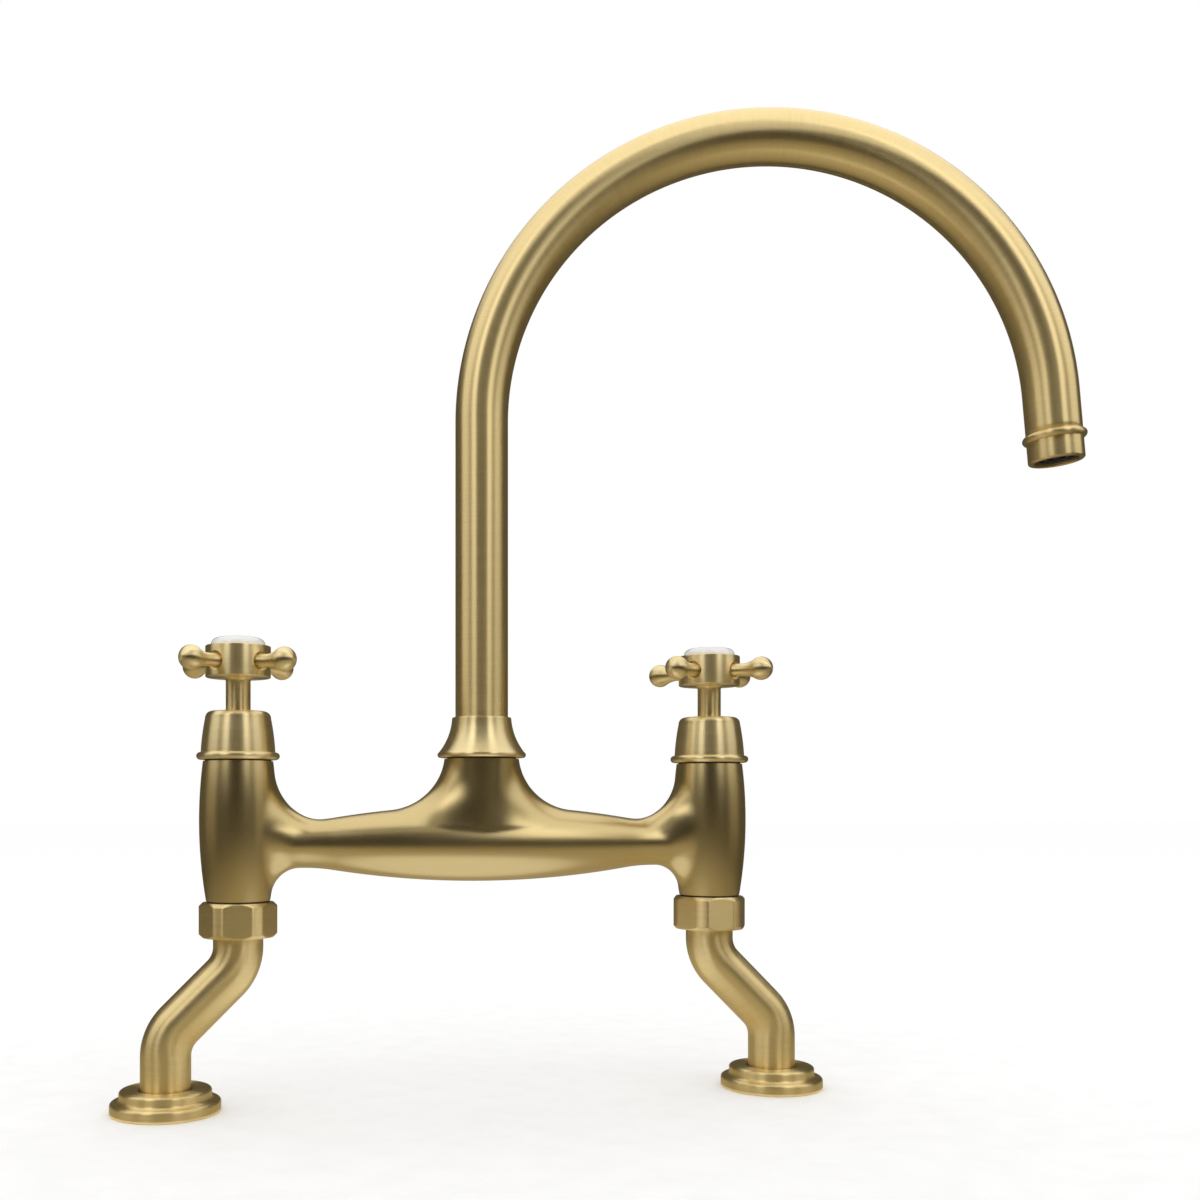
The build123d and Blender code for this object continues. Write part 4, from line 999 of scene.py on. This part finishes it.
def leg_mesh(side, legs, brass):
    """Leg with two like bends, from its lip under the washer down to the deck."""
    name = f"{side}_leg_tube"
    sign = -1 if side == "hot" else 1
    top = high(f"{side}_leg").z
    crank = abs(FOOT_X[side] - PILLAR_X[side])
    bend, r = legs.bend, legs.bend_radius
    slope = (crank - 2 * r * (1 - math.cos(bend))) / math.sin(bend)
    bend_top = legs.foot + 2 * r * math.sin(bend) + slope * math.cos(bend)
    # Spots along the middle of the tube: step outwards, height and lean
    upper = [(r * (1 - math.cos(a)), bend_top - r * math.sin(a), a) for a in np.linspace(0, bend, 15)]
    lower = [(crank - out, legs.foot + bend_top - z, a) for out, z, a in upper[::-1]]
    between = np.linspace(upper[-1], lower[0], 8)[1:-1]
    out, z, lean = np.array([(0, top, 0), *upper, *between, *lower, (crank, 0, 0)]).T
    along = [0, *np.cumsum(np.hypot(np.diff(out), np.diff(z)))]

    angles, lean = even_angles(TUBE), lean[:, None]
    across = legs.radius * np.cos(angles)
    x = PILLAR_X[side] + sign * out[:, None] + across * np.cos(lean)
    y = np.broadcast_to(legs.radius * np.sin(angles), x.shape)
    rings = np.stack([x, y, z[:, None] + sign * across * np.sin(lean)], axis=2)
    skin = tidy(grid_mesh(name, rings, False, along))
    tube = walled(name, skin, legs.radius - legs.bore, brass)
    edge = high(f"{side}_union_washer").x - PILLAR_X[side]
    base = top - legs.lip_height
    lip = [(legs.bore, base), (edge, base), (edge, top), (legs.bore, top)]
    return joined(name, tube, lathe("lip", lip, upright(PILLAR_X[side]), around=TUBE))


# Stage

NEAR, FAR = 0.4, 1.3  # from the spout's axis to the flags


def both_sides(first, last, *rest):
    """A flag and its like on the other side of the camera."""
    return (first, last, *rest), (-last, -first, *rest)


# Flags: first and last degree round from the camera, distance, bottom, top and tone
FLAGS = (
    (-60, 60, FAR, -0.2, 0.45, 0.03),
    (-25, 25, FAR, 0.45, 0.95, 0.015),
    (-25, 25, FAR, 0.95, 1.3, 0.1),
    (-26, 26, NEAR, 0.5, 0.74, 0.12),
    *both_sides(25, 44, FAR, 0.55, 1.5, 1.9),
    *both_sides(44, 60, FAR, 0.45, 0.95, 0.35),
    *both_sides(60, 96, FAR, -0.2, 0.36, 0.25),
    (96, 264, FAR, -0.2, 1.2, 0.1),
)
FLAG_STEPS, OVAL_STEPS = 16, 64
HIDDEN_FROM = ("camera", "diffuse", "shadow", "transmission", "volume_scatter")
DARK_TINT = (1, 0.88, 0.62)  # of flags that are darker than the white sweep
# Rings on the floor: half width and depth of the ovals between them, and their tones
OVALS = ((0.08, 0.1), (0.25, 0.3), (0.5, 0.55), (FAR, FAR))
OVAL_TONES = (0.45, 0.3, 0.08)
OVAL_AHEAD = 0.05  # towards the front
OVAL_LIFT = 0.001  # clear of the floor
FLOOR_REACH = 8.0


class TAP_OT_stage(bpy.types.Operator):
    """Makes the camera, the floor, the light and the flags round the set"""

    bl_idname = "tap.stage"
    bl_label = "Stage"
    bl_options = {"REGISTER", "UNDO"}

    def execute(self, context):
        scene = context.scene
        scene.view_settings.view_transform = "Standard"
        self.camera(scene, scene.tap_view)
        self.sweep(scene, scene.tap_finish)
        self.flags(math.atan2(scene.camera.location.y, scene.camera.location.x))
        self.lamp(scene, scene.tap_view)
        return {"FINISHED"}

    def camera(self, scene, view):
        """Level camera, with a shift for the framing."""
        data = bpy.data.cameras.new("camera")
        data.sensor_width = 36
        data.lens = view.lens
        data.shift_x, data.shift_y = view.shift_x, view.shift_y
        data.clip_start, data.clip_end = 0.01, 50
        camera = bpy.data.objects.new("camera", data)
        on = Vector((math.sin(view.turn), math.cos(view.turn), 0))
        right = Vector((math.cos(view.turn), -math.sin(view.turn), 0))
        camera.location = right * view.side_step - on * view.distance + Vector((0, 0, view.height))
        camera.rotation_euler = (math.pi / 2, 0, -view.turn)
        scene.collection.objects.link(camera)
        scene.camera = camera

    def sweep(self, scene, finish):
        """White all round, and a matt floor."""
        world = bpy.data.worlds.new("white_sweep")
        world.use_nodes = True
        background = world.node_tree.nodes["Background"].inputs
        background["Color"].default_value = (1, 1, 1, 1)
        background["Strength"].default_value = 1.0
        scene.world = world
        ends = (-FLOOR_REACH, FLOOR_REACH)
        edges = [[(x, y, 0) for y in ends] for x in ends]
        dull = {"Specular IOR Level": 0.0}
        matt = plain_finish("pale_floor", finish.floor, roughness=1.0, bump=0.0, **dull)
        floor = add_object("floor", strip("floor", edges), matt)

    def flags(self, towards):
        """Cards that only reflections see, with gaps where the white sweep shows as bands."""
        for number, (first, last, distance, bottom, top, tone) in enumerate(FLAGS):
            pairs = []
            for angle in towards + np.radians(np.linspace(first, last, FLAG_STEPS + 1)):
                x, y = distance * math.cos(angle), distance * math.sin(angle)
                pairs.append([(x, y, bottom), (x, y, top)])
            self.card(strip(f"flag_{number}", pairs), tone)
        # On the floor the white shows nearest to the tap, and darker rings lie round it
        for number, tone in enumerate(OVAL_TONES):
            pairs = []
            for angle in np.linspace(0, math.tau, OVAL_STEPS + 1):
                x, y = math.cos(angle), math.sin(angle)
                ovals = OVALS[number : number + 2]
                pairs.append([(wide * x, deep * y - OVAL_AHEAD, OVAL_LIFT) for wide, deep in ovals])
            self.card(strip(f"floor_flag_{number}", pairs), tone)

    def card(self, mesh, tone):
        """Gives a flag an even glow, and hides it from all but reflections."""
        material = bpy.data.materials.new(mesh.name)
        material.use_nodes = True
        tree = material.node_tree
        tint = DARK_TINT if tone < 1 else (1, 1, 1)
        glow = add_node(tree, "ShaderNodeEmission", {"Color": (*(tone * part for part in tint), 1)})
        tree.links.new(glow.outputs[0], tree.nodes["Material Output"].inputs["Surface"])
        card = add_object(mesh.name, mesh, material)
        for rays in HIDDEN_FROM:
            setattr(card, f"visible_{rays}", False)

    def lamp(self, scene, view):
        """Wide lamp overhead, which faces down."""
        data = bpy.data.lights.new("overhead", "AREA")
        data.shape = "SQUARE"
        data.size = view.lamp_size
        data.energy = view.lamp_watts
        lamp = bpy.data.objects.new("overhead", data)
        lamp.location = (view.lamp_side, 0, view.lamp_height)
        scene.collection.objects.link(lamp)


# Pieces


class TAP_OT_casting(bpy.types.Operator):
    """Makes the bridge casting, with its blends between pillars, neck and boss"""

    bl_idname = "tap.casting"
    bl_label = "Bridge casting"
    bl_options = {"REGISTER", "UNDO"}

    def execute(self, context):
        scene = context.scene
        brass = cast_brass(scene.tap_finish)
        mesh = bridge_mesh(scene.tap_casting, brass)
        place_piece("bridge_casting", mesh, "body", brass, "satin_brass", "bridge_body")
        return {"FINISHED"}


class TAP_OT_bonnets(bpy.types.Operator):
    """Turns both bonnets and the spout collar"""

    bl_idname = "tap.bonnets"
    bl_label = "Bonnets and collar"
    bl_options = {"REGISTER", "UNDO"}

    def execute(self, context):
        scene = context.scene
        brass = turned_brass(scene.tap_finish)
        sizes = scene.tap_collars
        bonnet = self.bonnet_outline(sizes, high("hot_bonnet").z)
        for side in SIDES:
            mesh = lathe(f"{side}_bonnet_cone", bonnet, upright(PILLAR_X[side]))
            place_piece(f"{side}_bonnet_cone", mesh, "body", brass, "satin_brass", f"{side}_bonnet")
        mesh = lathe("spout_collar_bell", self.collar_outline(sizes, high("spout_collar").z))
        place_piece("spout_collar_bell", mesh, "body", brass, "satin_brass", "spout_collar")
        return {"FINISHED"}

    def bonnet_outline(self, sizes, top):
        """Bulged cone with a rounded top, a bead and a shadow line under it, and the hollow inside."""
        line = PILLAR_TOP + sizes.joint_line
        bead = (sizes.bonnet_bead, PILLAR_TOP + (sizes.joint_line + sizes.bead_height) / 2)
        cone_top = Vector((sizes.bonnet_top, top - sizes.bonnet_edge))
        cone_foot = Vector((sizes.bonnet_foot, PILLAR_TOP + sizes.bead_height))
        middle = (cone_top + cone_foot) / 2 + Vector((sizes.bonnet_bulge, 0))
        inner = sizes.bonnet_foot - sizes.joint_depth
        hollow = PILLAR_TOP + sizes.cavity_height
        roof = top - sizes.bonnet_roof
        edge = round_corner(sizes.bonnet_top, top, sizes.bonnet_edge, 12)
        return [
            *arc_through(cone_top, middle, cone_foot, 20),
            *arc_through(cone_foot, bead, (sizes.bonnet_foot, line), 20)[1:],
            (inner, line),
            (inner, PILLAR_TOP),
            (sizes.bonnet_cavity, PILLAR_TOP),
            (sizes.bonnet_cavity, hollow),
            (sizes.valve_neck, hollow),
            (sizes.valve_neck, roof),
            (sizes.stem_hole, roof),
            (sizes.stem_hole, top - HAIR),
            (sizes.stem_hole + HAIR, top),
            *edge[:0:-1],
        ]

    def collar_outline(self, sizes, lip):
        """Bell that flares down to a bead, with a shadow line under it."""
        foot, line = BOSS_TOP, BOSS_TOP + sizes.joint_line
        bead_top = foot + sizes.collar_bead_top
        waist = (sizes.collar_waist, foot + sizes.waist_rise)
        bead_start = (sizes.collar_flare + HAIR / 2, bead_top - HAIR / 2)
        bead = (sizes.collar_bead, (bead_top + line) / 2)
        inner = sizes.collar_bore + 2 * HAIR
        seat = TUBE_FOOT - sizes.collar_shoulder
        return [
            *arc_through((sizes.collar_top, lip - 2 * HAIR), waist, (sizes.collar_flare, bead_top), 30),
            *arc_through(bead_start, bead, (sizes.collar_flare, line), 16),
            (inner, line),
            (inner, foot),
            (sizes.collar_bore, foot),
            (sizes.collar_bore, seat),
            (sizes.collar_hole, seat),
            (sizes.collar_hole, lip - HAIR),
            (sizes.collar_hole + HAIR, lip),
            (sizes.collar_top - HAIR, lip),
            (sizes.collar_top - HAIR / 3, lip - HAIR / 2),
        ]


class TAP_OT_spout(bpy.types.Operator):
    """Bends the spout tube and fits its outlet sleeve and aerator"""

    bl_idname = "tap.spout"
    bl_label = "Spout"
    bl_options = {"REGISTER", "UNDO"}
    steps = 240
    sides = TUBE

    def execute(self, context):
        scene = context.scene
        spout = scene.tap_spout
        brass = tube_brass(scene.tap_finish)
        values = {
            "Riser": spout.riser,
            "Arch radius": spout.arch_radius,
            "Arch sweep": spout.arch_sweep,
            "Outlet run": spout.outlet_run,
            "Swing": spout.swing,
            "Foot height": TUBE_FOOT,
            "Tube radius": spout.tube_radius,
            "Steps": self.steps,
            "Sides": self.sides,
            "Material": brass,
        }
        skin = grown("swan_neck_tube", swan_neck(), values)
        whole = spout.riser + spout.arch_radius * spout.arch_sweep + spout.outlet_run
        tube_uv(skin, self.steps, self.sides, whole)
        mesh = walled("swan_neck_tube", tidy(skin), spout.tube_wall, brass)
        place_piece("swan_neck_tube", mesh, "spout", brass, "satin_brass", "spout_tube")

        place = self.outlet_place(spout)
        tip = spout.bead_height + spout.sleeve
        mesh = lathe("outlet_sleeve_bead", self.sleeve_outline(spout, tip), place)
        place_piece("outlet_sleeve_bead", mesh, "spout", brass, "satin_brass", "outlet_sleeve")
        dark = aerator_plastic(scene.tap_finish)
        mesh = self.aerator_mesh(scene.tap_aerator, dark, spout.mouth - SNUG, tip)
        mesh.transform(place)
        place_piece("aerator_grille", mesh, "spout", dark, "aerator_dark", "aerator_insert")
        return {"FINISHED"}

    def outlet_place(self, spout):
        """Frame at the tube's end, with Z along the tube and out of it."""
        sweep, arch, run = spout.arch_sweep, spout.arch_radius, spout.outlet_run
        up = Vector((0, 0, 1))
        ahead = Vector((math.cos(spout.swing), -math.sin(spout.swing), 0))
        out = ahead * math.sin(sweep) + up * math.cos(sweep)
        arch_end = ahead * arch * (1 - math.cos(sweep)) + up * arch * math.sin(sweep)
        end = up * (TUBE_FOOT + spout.riser) + arch_end + out * run
        return Matrix.Translation(end) @ out.to_track_quat("Z", "Y").to_matrix().to_4x4()

    def sleeve_outline(self, spout, tip):
        """Plug, bead and sleeve, as radius and distance beyond the tube's end."""
        r, mouth, bead_end, nick = spout.tube_radius, spout.mouth, spout.bead_height, HAIR / 2
        plug = r - spout.tube_wall - SNUG
        bore = plug - spout.plug_wall
        return [
            (bore, -spout.plug_depth),
            (plug, -spout.plug_depth),
            (plug, 0),
            (r, 0),
            *arc_through((r, nick), (spout.bead, bead_end / 2), (r, bead_end - nick), 16),
            (r, bead_end),
            *round_corner(r, tip, spout.sleeve_edge, 6),
            (mouth + spout.mouth_edge, tip),
            (mouth, tip - spout.mouth_edge),
            (mouth, spout.shelf),
            (bore, spout.shelf),
        ]

    def aerator_mesh(self, sizes, dark, edge, tip):
        """Two rings, a plate and a dome, with ribs between the rings."""
        face, back = tip - sizes.recess, sizes.back
        ring, jet, jet_edge = sizes.ring, sizes.jet_ring, sizes.jet_edge
        jet_bore = jet - sizes.jet_wall
        outer = [(ring, back), (edge, back), (edge, face, HAIR), (ring, face, HAIR)]
        inner = [(jet_bore, back), (jet, back), (jet, face, jet_edge), (jet_bore, face, jet_edge)]
        solids = [lathe("ring", rounded(corners), around=TUBE) for corners in (outer, inner)]
        rim, plate = edge - sizes.plate_play, back + sizes.plate
        plate_outline = [(0, back), (rim, back), (rim, plate), (0, plate)]
        shoulder = (sizes.dome_shoulder, face - sizes.shoulder_drop)
        crown = (0, face - sizes.dome_drop)
        dome = [(0, plate - HAIR / 3), (sizes.dome, plate - HAIR / 3)]
        dome += arc_through((sizes.dome, face - sizes.dome_side), shoulder, crown, 8)
        solids += [lathe("dome", outline, None, False, TUBE) for outline in (plate_outline, dome)]

        start, end = jet - sizes.rib_lap, ring + sizes.rib_lap
        foot, top = back + sizes.rib_rise, face - sizes.rib_drop
        section = [(start, foot), (end, foot), (end, top), (start, top)]
        points = [(x, y, z) for y in (-sizes.rib_half, sizes.rib_half) for x, z in section]
        sides = [(k, k + 4, (k + 1) % 4 + 4, (k + 1) % 4) for k in range(4)]
        rib = bpy.data.meshes.new("rib")
        rib.from_pydata(points, [], [(0, 1, 2, 3), (7, 6, 5, 4), *sides])
        rib.uv_layers.new(name=BRUSH_MAP)
        ribs = copies_round("ribs", tidy(rib), sizes.ribs, dark)
        return joined("aerator_grille", *solids, ribs)


class TAP_OT_handles(bpy.types.Operator):
    """Makes both cross handles: hub and neck, arms with ball ends, porcelain index"""

    bl_idname = "tap.handles"
    bl_label = "Cross handles"
    bl_options = {"REGISTER", "UNDO"}

    def execute(self, context):
        scene = context.scene
        sizes, finish = scene.tap_handles, scene.tap_finish
        brass, glaze = turned_brass(finish), porcelain(finish)
        rim = INDEX_TOP - sizes.hub_top_drop
        hub_low = rim - sizes.hub_height
        arm = self.arm_outline(sizes)
        for side, first in zip(SIDES, (sizes.hot_angle, sizes.cold_angle)):
            x, body = PILLAR_X[side], f"{side}_handle"
            place = (x, 0, hub_low + sizes.arm_rise)
            hub, arms = f"{side}_hub_and_neck", f"{side}_cross_arms"
            mesh = self.hub_mesh(sizes, side, rim, hub_low, place, first, brass)
            place_piece(hub, mesh, body, brass, "satin_brass", f"{side}_handle_hub")

            one = lathe("arm", arm, ALONG_X, False, SLIM)
            mesh = copies_round(arms, one, sizes.arms, brass, first, place)
            place_piece(arms, mesh, body, brass, "satin_brass", f"{side}_handle_arms")

            outline = self.index_outline(sizes, low(f"{side}_index").z)
            mesh = lathe(f"{side}_index_button", outline, upright(x), closed=False)
            place_piece(f"{side}_index_button", mesh, body, glaze, "porcelain", f"{side}_index")
        return {"FINISHED"}

    def index_outline(self, sizes, base):
        """Button with a rounded edge and a face that swells a little."""
        edge, swell = sizes.index_radius, sizes.index_crown
        crown, shoulder = edge - sizes.index_edge, INDEX_TOP - swell
        run = np.linspace(0, 1, 13)[1:]
        return [
            (0, base),
            (edge, base),
            *round_corner(edge, shoulder, sizes.index_edge, 12),
            *zip(crown * (1 - run), shoulder + swell * (1 - (1 - run) ** 2)),
        ]

    def arm_outline(self, sizes):
        """Stud, root, waist, flare and ball, as radius and distance from the hub's axis."""
        ball, centre, floor = sizes.ball_radius, sizes.ball_reach, sizes.pocket_floor
        waist, waist_reach = sizes.arm_waist, sizes.waist_reach
        run = centre - waist_reach
        flare = (run**2 + waist**2 - ball**2) / (2 * (ball - waist))
        lean = math.asin(run / (flare + ball))
        swell, back = sizes.arm_root - waist, waist_reach - floor
        bow = (swell**2 + back**2) / (2 * swell)
        half = math.asin(back / bow) / 2
        between = (waist + bow * (1 - math.cos(half)), waist_reach - bow * math.sin(half))
        flared, rolled = np.linspace(0, lean, 13)[1:], np.linspace(math.pi / 2 + lean, 0, 33)[1:-1]
        return [
            (0, sizes.stud_start),
            (sizes.stud, sizes.stud_start),
            (sizes.stud, floor),
            *arc_through((sizes.arm_root, floor), between, (waist, waist_reach), 8),
            *zip(waist + flare * (1 - np.cos(flared)), waist_reach + flare * np.sin(flared)),
            *zip(ball * np.sin(rolled), centre + ball * np.cos(rolled)),
            (0, centre + ball),
        ]

    def hub_mesh(self, sizes, side, rim, hub_low, place, first, brass):
        """Hub and neck, with a flat-bottomed pocket cut round each arm."""
        name = f"{side}_hub_and_neck"
        r, neck, bore = sizes.hub_radius, sizes.neck_radius, sizes.hub_bore
        well, seat, foot = sizes.index_radius + SNUG, low(f"{side}_index").z, low(f"{side}_handle_hub").z
        corners = [
            (bore, foot),
            (neck, foot, HAIR),
            (neck, hub_low, sizes.neck_blend),
            (r, hub_low, sizes.hub_edge),
            (r, rim, sizes.rim_edge),
            (well, rim, sizes.well_edge),
            (well, seat),
            (bore, seat),
        ]
        turned = lathe(name, rounded(corners), upright(PILLAR_X[side]), around=WIDE)
        hub = add_object("hub", turned, brass)
        floor, wide = sizes.pocket_floor, sizes.pocket
        pocket = [(0, floor), (wide, floor), (wide, 2 * r), (0, 2 * r)]
        one = lathe("pocket", pocket, ALONG_X, False, SLIM)
        pockets = copies_round("pockets", one, sizes.arms, brass, first, place)
        cutter = add_object("pockets", pockets, brass)
        cut = hub.modifiers.new("pockets", "BOOLEAN")
        cut.operation = "DIFFERENCE"
        cut.solver = "EXACT"
        cut.object = cutter
        mesh = baked(hub, name)
        discard(cutter)
        return smoothed(mesh)


class TAP_OT_legs(bpy.types.Operator):
    """Makes the legs, the union nuts and the deck flanges"""

    bl_idname = "tap.legs"
    bl_label = "Legs, nuts and flanges"
    bl_options = {"REGISTER", "UNDO"}

    def execute(self, context):
        scene = context.scene
        legs = scene.tap_legs
        brass = tube_brass(scene.tap_finish)
        flange = self.flange_outline(legs)
        for side in SIDES:
            mesh = lathe(f"{side}_flange_steps", flange, upright(FOOT_X[side]), around=WIDE)
            place_piece(f"{side}_flange_steps", mesh, "body", brass, "satin_brass", f"{side}_flange")
            mesh = leg_mesh(side, legs, brass)
            place_piece(f"{side}_leg_tube", mesh, "body", brass, "satin_brass", f"{side}_leg")
            mesh = self.nut_mesh(side, legs)
            place_piece(f"{side}_hexagon_nut", mesh, "body", brass, "satin_brass", f"{side}_union_nut")
        return {"FINISHED"}

    def flange_outline(self, legs):
        """Two rounded steps, with grooves for the grip ring and the deck seal."""
        bore, groove, top = legs.radius + legs.flange_play, legs.ring_groove, high("hot_flange").z
        groove_low, groove_high = low("hot_flange_ring").z - SNUG, high("hot_flange_ring").z + SNUG
        outer = high("hot_deck_seal").x - FOOT_X["hot"] + SNUG
        inner, deep = outer - legs.seal_width, high("hot_deck_seal").z + SNUG
        corners = [
            (bore, 0),
            (inner, 0),
            (inner, deep),
            (outer, deep),
            (outer, 0),
            (legs.flange, 0, legs.flange_foot),
            (legs.flange, legs.step_height, legs.flange_edge),
            (legs.flange_step, legs.step_height, legs.flange_cove),
            (legs.flange_step, top, legs.flange_edge),
            (bore, top, legs.flange_mouth),
            (bore, groove_high),
            (groove, groove_high),
            (groove, groove_low),
            (bore, groove_low),
        ]
        return rounded(corners, 7)

    def nut_mesh(self, side, legs):
        """Hexagon with turned corners, threaded above and with a hole for the leg below."""
        bore, lip, floor = legs.nut_bore, legs.radius + HAIR, NUT_LOW + legs.nut_floor
        chamfer, nick, blend = legs.chamfer, legs.thread_edge, legs.flat_blend
        cone = legs.corner - chamfer
        rise = np.linspace(0, 1, 15) * chamfer
        outline = [
            (lip, NUT_LOW + legs.lip_edge),
            (lip + legs.lip_edge, NUT_LOW),
            *((cone + c, NUT_LOW + c) for c in rise),
            *((legs.corner, z) for z in np.linspace(NUT_LOW + chamfer, NUT_HIGH - chamfer, 7)[1:-1]),
            *((cone + c, NUT_HIGH - c) for c in rise[::-1]),
            (bore + nick, NUT_HIGH),
            (bore, NUT_HIGH - nick),
            (bore, floor),
            (lip, floor),
        ]

        def flats(angles, radius):
            # Flats face the front and back
            turned = (angles - math.pi / 2 + math.pi / 6) % (math.pi / 3) - math.pi / 6
            flat = np.broadcast_to(legs.flats / 2 / np.cos(turned), radius.shape)
            mix = np.clip(0.5 + 0.5 * (flat - radius) / blend, 0, 1)
            met = flat * (1 - mix) + radius * mix - blend * mix * (1 - mix)
            return np.where(radius > bore + MM, met, radius)

        return lathe(f"{side}_hexagon_nut", outline, upright(PILLAR_X[side]), around=HEXAGON, shape=flats)


class TAP_OT_joints(bpy.types.Operator):
    """Fits thin dark rings into the joint lines of the casting: painted shade that stands for the shadow
    in those gaps
    """

    bl_idname = "tap.joints"
    bl_label = "Painted shade rings"
    bl_options = {"REGISTER", "UNDO"}

    def execute(self, context):
        scene = context.scene
        collars, cast = scene.tap_collars, scene.tap_casting
        dark = black_rubber(scene.tap_finish)
        line, gap = collars.joint_line, cast.foot_gap - cast.foot_reach
        shade_ring_radius = collars.bonnet_foot - collars.joint_depth
        rings = [("spout_collar_shade_ring", 0, collars.collar_bore + 2 * HAIR, BOSS_TOP, line)]
        for side in SIDES:
            x = PILLAR_X[side]
            rings.append((f"{side}_bonnet_shade_ring", x, shade_ring_radius, PILLAR_TOP, line))
            rings.append((f"{side}_union_shade_ring", x, cast.spigot, NUT_HIGH, gap))
        # Each ring is a dark sheet of painted shade in a joint line: under the collar, under each bonnet
        # and above each nut
        for name, x, radius, base, height in rings:
            edge, top = radius + cast.ring_width, base + height
            corners = [(radius, base), (edge, base, HAIR / 3), (edge, top, HAIR / 3), (radius, top)]
            mesh = lathe(name, rounded(corners, 3), upright(x))
            place_piece(name, mesh, "body", dark, "rubber_seal")
        return {"FINISHED"}


class TAP_OT_inner(bpy.types.Operator):
    """Gives the packed inner pieces their own finishes"""

    bl_idname = "tap.inner"
    bl_label = "Inner pieces"
    bl_options = {"REGISTER", "UNDO"}

    def execute(self, context):
        finish = context.scene.tap_finish
        by_slot = {
            "satin_brass": cast_brass(finish),
            "porcelain": porcelain(finish),
            "rubber_seal": black_rubber(finish),
            "steel_fixing": plain_finish("plain_steel", finish.steel, roughness=0.3, Metallic=1.0),
            "valve_ceramic": plain_finish("lapped_ceramic", finish.ceramic, roughness=0.25, bump=0.02),
            "aerator_dark": aerator_plastic(finish),
        }
        slots = {row["node"]: row["material_slot"] for row in frame["record"]["subparts"]}
        for name, obj in frame["nodes"].items():
            for slot in obj.material_slots:
                slot.material = by_slot[slots[name]]
        return {"FINISHED"}


class TAP_PT_panel(bpy.types.Panel):
    """Lists the tap's operators and sizes"""

    bl_idname = "TAP_PT_panel"
    bl_label = "Bridge mixer tap"
    bl_space_type = "VIEW_3D"
    bl_region_type = "UI"
    bl_category = "Tap"

    def draw(self, context):
        layout = self.layout
        for operator in OPERATORS:
            layout.operator(operator.bl_idname)
        for key, group in GROUPS.items():
            box = layout.box()
            box.label(text=group.__doc__)
            for name in group.__annotations__:
                box.prop(getattr(context.scene, key), name)


OPERATORS = (
    TAP_OT_stage,
    TAP_OT_casting,
    TAP_OT_bonnets,
    TAP_OT_spout,
    TAP_OT_handles,
    TAP_OT_legs,
    TAP_OT_joints,
    TAP_OT_inner,
)
CLASSES = (*GROUPS.values(), *OPERATORS, TAP_PT_panel)


def register():
    for cls in CLASSES:
        bpy.utils.register_class(cls)
    for key, group in GROUPS.items():
        setattr(bpy.types.Scene, key, PointerProperty(type=group))


def unregister():
    for key in GROUPS:
        delattr(bpy.types.Scene, key)
    for cls in reversed(CLASSES):
        bpy.utils.unregister_class(cls)


def main():
    register()
    bpy.ops.tap.stage()
    bpy.ops.tap.casting()
    bpy.ops.tap.bonnets()
    bpy.ops.tap.spout()
    bpy.ops.tap.handles()
    bpy.ops.tap.legs()
    bpy.ops.tap.joints()
    bpy.ops.tap.inner()


if __name__ == "__main__":
    main()
